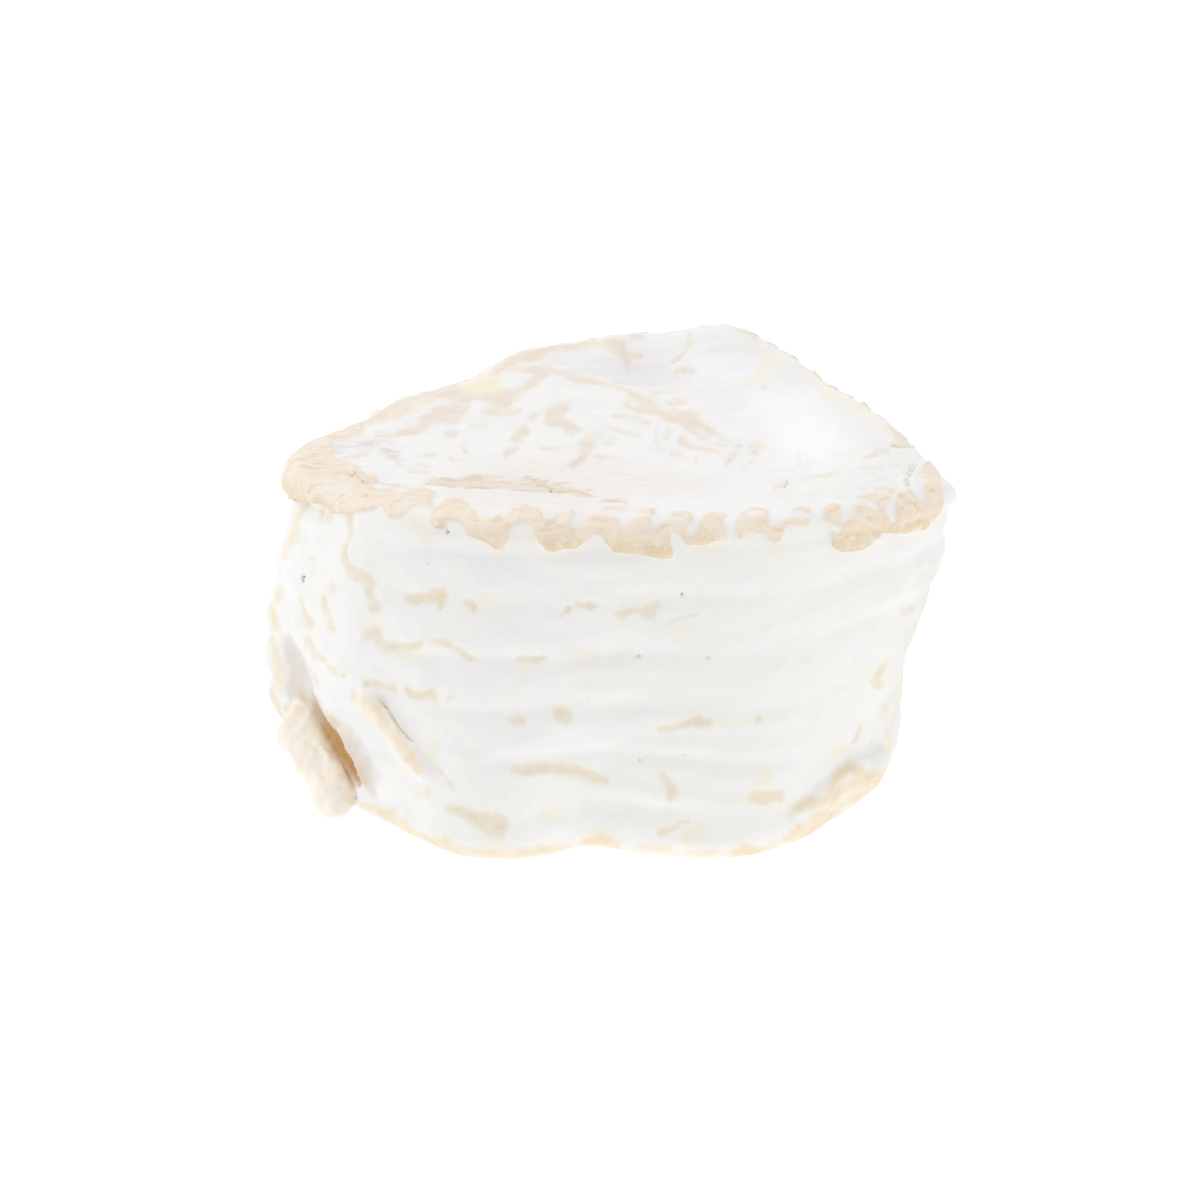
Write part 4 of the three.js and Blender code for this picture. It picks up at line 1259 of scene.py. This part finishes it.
class Nodes:
    """Small helpers that add and link a material's nodes."""

    def __init__(self, material):
        material.use_nodes = True
        self.tree = material.node_tree
        self.tree.nodes.clear()

    def add(self, kind, inputs=(), **settings):
        node = self.tree.nodes.new(kind)
        for name, value in settings.items():
            setattr(node, name, value)
        for name, value in dict(inputs).items():
            if isinstance(value, bpy.types.NodeSocket):
                self.tree.links.new(value, node.inputs[name])
            else:
                node.inputs[name].default_value = value
        return node

    def attribute(self, name):
        return self.add("ShaderNodeAttribute", attribute_name=name).outputs["Fac"]

    def noise(self, place, size, detail):
        """Noise from 0 to 1, with forms about one size of millimetres across."""
        inputs = {"Vector": place, "Scale": 1 / (size * MM), "Detail": detail, "Roughness": 0.55}
        return self.add("ShaderNodeTexNoise", inputs).outputs["Fac"]

    def math(self, operation, a, b):
        return self.add("ShaderNodeMath", {0: a, 1: b}, operation=operation).outputs[0]

    def ramp(self, value, low, high):
        """0 below low, 1 above high, smooth between."""
        inputs = {"Value": value, "From Min": low, "From Max": high}
        node = self.add("ShaderNodeMapRange", inputs, interpolation_type="SMOOTHSTEP")
        return node.outputs["Result"]

    def times(self, share, low, high, by):
        """A share times low where another value is 0, and times high where it is 1."""
        return self.math("MULTIPLY", share, self.math("ADD", low, self.math("MULTIPLY", by, high - low)))

    def blend(self, share, a, b):
        """Colour a where the share is 0 and colour b where it is 1."""
        a, b = (colour if isinstance(colour, bpy.types.NodeSocket) else (*colour, 1) for colour in (a, b))
        return self.add("ShaderNodeMix", {0: share, 6: a, 7: b}, data_type="RGBA").outputs[2]

    def finish(self, shader):
        output = self.add("ShaderNodeOutputMaterial")
        self.tree.links.new(shader.outputs["BSDF"], output.inputs["Surface"])


class RindNodes(Nodes):
    """The noises of the rind, and the layers of its colour from the mould outwards."""

    def __init__(self, material):
        super().__init__(material)
        place = self.add("ShaderNodeTexCoord").outputs["Object"]
        level = self.add("ShaderNodeMapping", {"Vector": place, "Scale": (0.3, 0.7, 1)}).outputs["Vector"]
        self.fine = self.noise(place, 0.45, 3)
        self.middle = self.noise(place, 1.4, 3)
        self.broad = self.noise(place, 7, 2)
        self.dashes = self.noise(level, 0.8, 3)
        self.bands = self.noise(level, 2.6, 2)
        self.worn = self.ramp(self.noise(place, 2.6, 4), 0.3, 0.62)
        # Pale flecks in the crust: partly white mould, partly painted glints.
        self.flecks_and_glints = self.ramp(self.noise(place, 0.4, 2), 0.6, 0.7)

    def share_inside(self, name, soft, fray):
        """1 well inside a mark and 0 outside, with a soft edge frayed by noise, both in millimetres."""
        ragged = self.math("ADD", self.middle, self.math("MULTIPLY", self.fine, 0.6))
        moved = self.math("MULTIPLY", self.math("SUBTRACT", ragged, 0.8), 2 * fray)
        return self.ramp(self.math("ADD", self.attribute(name), moved), -soft, soft)

    def mould(self):
        """The mould's mottled white with its tints, among them painted light and painted shade."""
        colour = self.blend(self.ramp(self.broad, 0.35, 0.65), WHITE_COOL, WHITE_WARM)
        colour = self.blend(self.ramp(self.bands, 0.45, 0.75), colour, MOTTLE_GREY)
        streaky = self.ramp(self.dashes, 0.4, 0.58)
        for name, tint in TINTS.items():
            share = self.times(self.attribute(name), 1 - tint["streaked"], 1, streaky)
            colour = self.blend(share, colour, tint["colour"])
        cream = self.times(self.attribute("cream"), 0.2, 1, self.ramp(self.middle, 0.2, 0.75))
        return self.blend(cream, colour, CREAM)

    def bare_skin(self, colour):
        """Lays bare skin over a colour, and says how far the streaks and patches are bare."""
        shares = {}
        for name, skin in BARE_SKIN.items():
            marked = self.share_inside(name, skin["soft"], skin["fray"])
            shares[name] = self.times(marked, skin["least"], skin["most"], self.worn)
            tone = skin["colour"]
            if "middle" in skin:
                middle = self.times(self.ramp(self.attribute(name), 0.2, 1.2), 0.2, 0.8, self.worn)
                tone = self.blend(middle, tone, skin["middle"])
            colour = self.blend(shares[name], colour, tone)
        return colour, self.math("MAXIMUM", shares["streaks"], shares["patches"])

    def folds(self, colour):
        """Lays the skin of the flap and the strip over a colour, deeper towards its edges."""
        tone = self.blend(self.ramp(self.attribute("folds"), 1.2, 0.2), FOLD_TAN, FOLD_DEEP)
        return self.blend(self.share_inside("folds", 0.3, 0.4), colour, self.blend(self.worn, tone, FOLD_TAN))

    def crust_tan(self, low, depth):
        """The crust's colour: deeper low down, in dashes and towards its edge, with pale flecks that are
        partly white mould and partly painted glints.
        """
        deep = self.math("MULTIPLY", low, self.ramp(self.middle, 0.25, 0.6))
        deep = self.math("MAXIMUM", deep, self.times(self.ramp(depth, 0.4, 0.05), 0, 0.8, self.worn))
        deep = self.math("MAXIMUM", deep, self.times(self.ramp(self.dashes, 0.48, 0.66), 0.2, 0.9, self.worn))
        pale = self.blend(self.ramp(self.attribute("pale_crust"), -1, 1.5), CRUST_PALE, CRUST_LOBE)
        edge = self.times(self.ramp(depth, 0.22, 0.02), 0.15, 0.8, low)
        tan = self.blend(self.times(edge, 0.2, 1, self.worn), self.blend(deep, pale, CRUST_DEEP), CRUST_EDGE)
        return self.blend(self.times(self.flecks_and_glints, 0.1, 1, self.bands), tan, WHITE_WARM)

    def crust(self, colour):
        """Lays the crust over a colour, and says how far it covers.

        Its edge is sharp where it hangs over the side, and frayed where it runs out on the top.
        """
        low, depth = self.attribute("low"), self.attribute("crust")
        soft = self.times(0.4, 1, 0.3, low)
        ragged = self.math("SUBTRACT", self.math("ADD", self.middle, self.fine), 1.0)
        moved = self.math("MULTIPLY", self.math("MULTIPLY", ragged, 1.2), soft)
        covered = self.ramp(self.math("ADD", depth, moved), self.math("MULTIPLY", soft, -1.0), soft)
        return self.blend(covered, colour, self.crust_tan(low, depth)), covered

    def dark_places(self, colour):
        """Lays creases, the crevice and pinholes over a colour: brown with painted shade in the creases and
        the crevice, and painted shade in the pinholes.
        """
        lines = self.times(self.ramp(self.attribute("lines"), -0.12, 0.12), 0.2, 0.9, self.worn)
        colour = self.blend(lines, colour, LINE_BROWN_AND_SHADE)
        colour = self.blend(self.attribute("crevice"), colour, CREVICE_BROWN_AND_SHADE)
        return self.blend(self.ramp(self.attribute("holes"), -0.1, 0.14), colour, PINHOLE_SHADE)


def rind_material():
    """White mould, tan crust and bare patches, soft tints among them painted light and shade, and dark
    creases partly painted shade.
    """
    material = bpy.data.materials.new("bloomy_rind")
    nodes = RindNodes(material)
    colour, bare = nodes.bare_skin(nodes.mould())
    colour, crust = nodes.crust(nodes.folds(colour))
    smoother = nodes.math("MAXIMUM", crust, bare)
    rough = nodes.add("ShaderNodeMapRange", {"Value": smoother, "To Min": 0.85, "To Max": 0.6})
    height = nodes.math("ADD", nodes.math("MULTIPLY", nodes.fine, 0.6), nodes.middle)
    bump = nodes.add("ShaderNodeBump", {"Height": height, "Strength": 0.45, "Distance": 0.12 * MM})
    nodes.finish(nodes.add("ShaderNodeBsdfPrincipled", {
        "Base Color": nodes.dark_places(colour),
        "Roughness": rough.outputs["Result"],
        "Normal": bump.outputs["Normal"],
        "Subsurface Weight": 0.18,
        "Subsurface Radius": (1, 0.75, 0.5),
        "Subsurface Scale": 1.2 * MM,
        "Specular IOR Level": 0.32,
    }))
    return material


# ---------------------------------------------------------------- stage, light and camera

FLOOR_REACH = 4000
# The floor glows as a light table does, most near the wheel.
FLOOR_GLOW, NEAR_GLOW = 1.02, 1.13
NEAR_RADIUS, FAR_RADIUS = 58, 85


def floor():
    corners = FLOOR_REACH * np.array([(-1, -1, 0), (1, -1, 0), (1, 1, 0), (-1, 1, 0)])
    made = new_object("floor", corners, [[0, 1, 2, 3]])
    material = bpy.data.materials.new("floor")
    made.data.materials.append(material)
    nodes = Nodes(material)
    place = nodes.add("ShaderNodeTexCoord").outputs["Object"]
    away = nodes.add("ShaderNodeVectorMath", {0: place}, operation="LENGTH").outputs["Value"]
    glow = nodes.add("ShaderNodeMapRange", {
        "Value": away,
        "From Min": NEAR_RADIUS * MM,
        "From Max": FAR_RADIUS * MM,
        "To Min": NEAR_GLOW,
        "To Max": FLOOR_GLOW,
    }, interpolation_type="SMOOTHSTEP")
    nodes.finish(nodes.add("ShaderNodeBsdfPrincipled", {
        "Base Color": (0.08, 0.08, 0.08, 1),
        "Roughness": 0.9,
        "Specular IOR Level": 0.1,
        "Emission Color": (1, 1, 1, 1),
        "Emission Strength": glow.outputs["Result"],
    }))


SKY_STRENGTH = 0.725
# Strength, then the direction towards the light.
SOFT_LIGHTS = {
    "left": (0.77, (-0.72, 0.3, 0.62)),
    "right": (0.34, (0.75, -0.1, 0.66)),
    "above": (0.17, (0, 0.1, 1)),
}
LIGHT_ANGLE = 40  # how wide each light is in the sky, in degrees


def light():
    world = bpy.data.worlds.new("studio")
    bpy.context.scene.world = world
    world.use_nodes = True
    background = world.node_tree.nodes["Background"]
    background.inputs["Color"].default_value = (1, 1, 1, 1)
    background.inputs["Strength"].default_value = SKY_STRENGTH
    for name, (strength, direction) in SOFT_LIGHTS.items():
        sun = bpy.data.lights.new(name, "SUN")
        sun.energy = strength
        sun.angle = math.radians(LIGHT_ANGLE)
        lamp = bpy.data.objects.new(name, sun)
        lamp.rotation_euler = Vector(direction).to_track_quat("Z", "Y").to_euler()
        bpy.context.scene.collection.objects.link(lamp)


def camera():
    data = bpy.data.cameras.new("camera")
    data.lens, data.sensor_width = CAMERA_LENS, CAMERA_SENSOR
    data.clip_start, data.clip_end = 0.01, 20
    made = bpy.data.objects.new("camera", data)
    eye, *_, back = camera_axes()
    made.location = eye * MM
    made.rotation_euler = Vector(back).to_track_quat("Z", "Y").to_euler()
    bpy.context.scene.collection.objects.link(made)
    bpy.context.scene.camera = made


# ---------------------------------------------------------------- the scene

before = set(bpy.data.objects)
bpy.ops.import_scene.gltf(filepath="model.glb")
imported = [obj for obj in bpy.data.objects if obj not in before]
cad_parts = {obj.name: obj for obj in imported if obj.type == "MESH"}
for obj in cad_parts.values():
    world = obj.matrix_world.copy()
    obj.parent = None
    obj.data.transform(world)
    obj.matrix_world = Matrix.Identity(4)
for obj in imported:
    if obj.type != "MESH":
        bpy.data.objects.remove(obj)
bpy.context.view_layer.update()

wheel = bare_wheel()
dress(wheel)
wheel.data.shade_smooth()
wheel.data.materials.clear()
wheel.data.materials.append(rind_material())
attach(wheel, "root")
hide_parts(NODE)

floor()
light()
camera()
bpy.context.scene.view_settings.view_transform = "Standard"
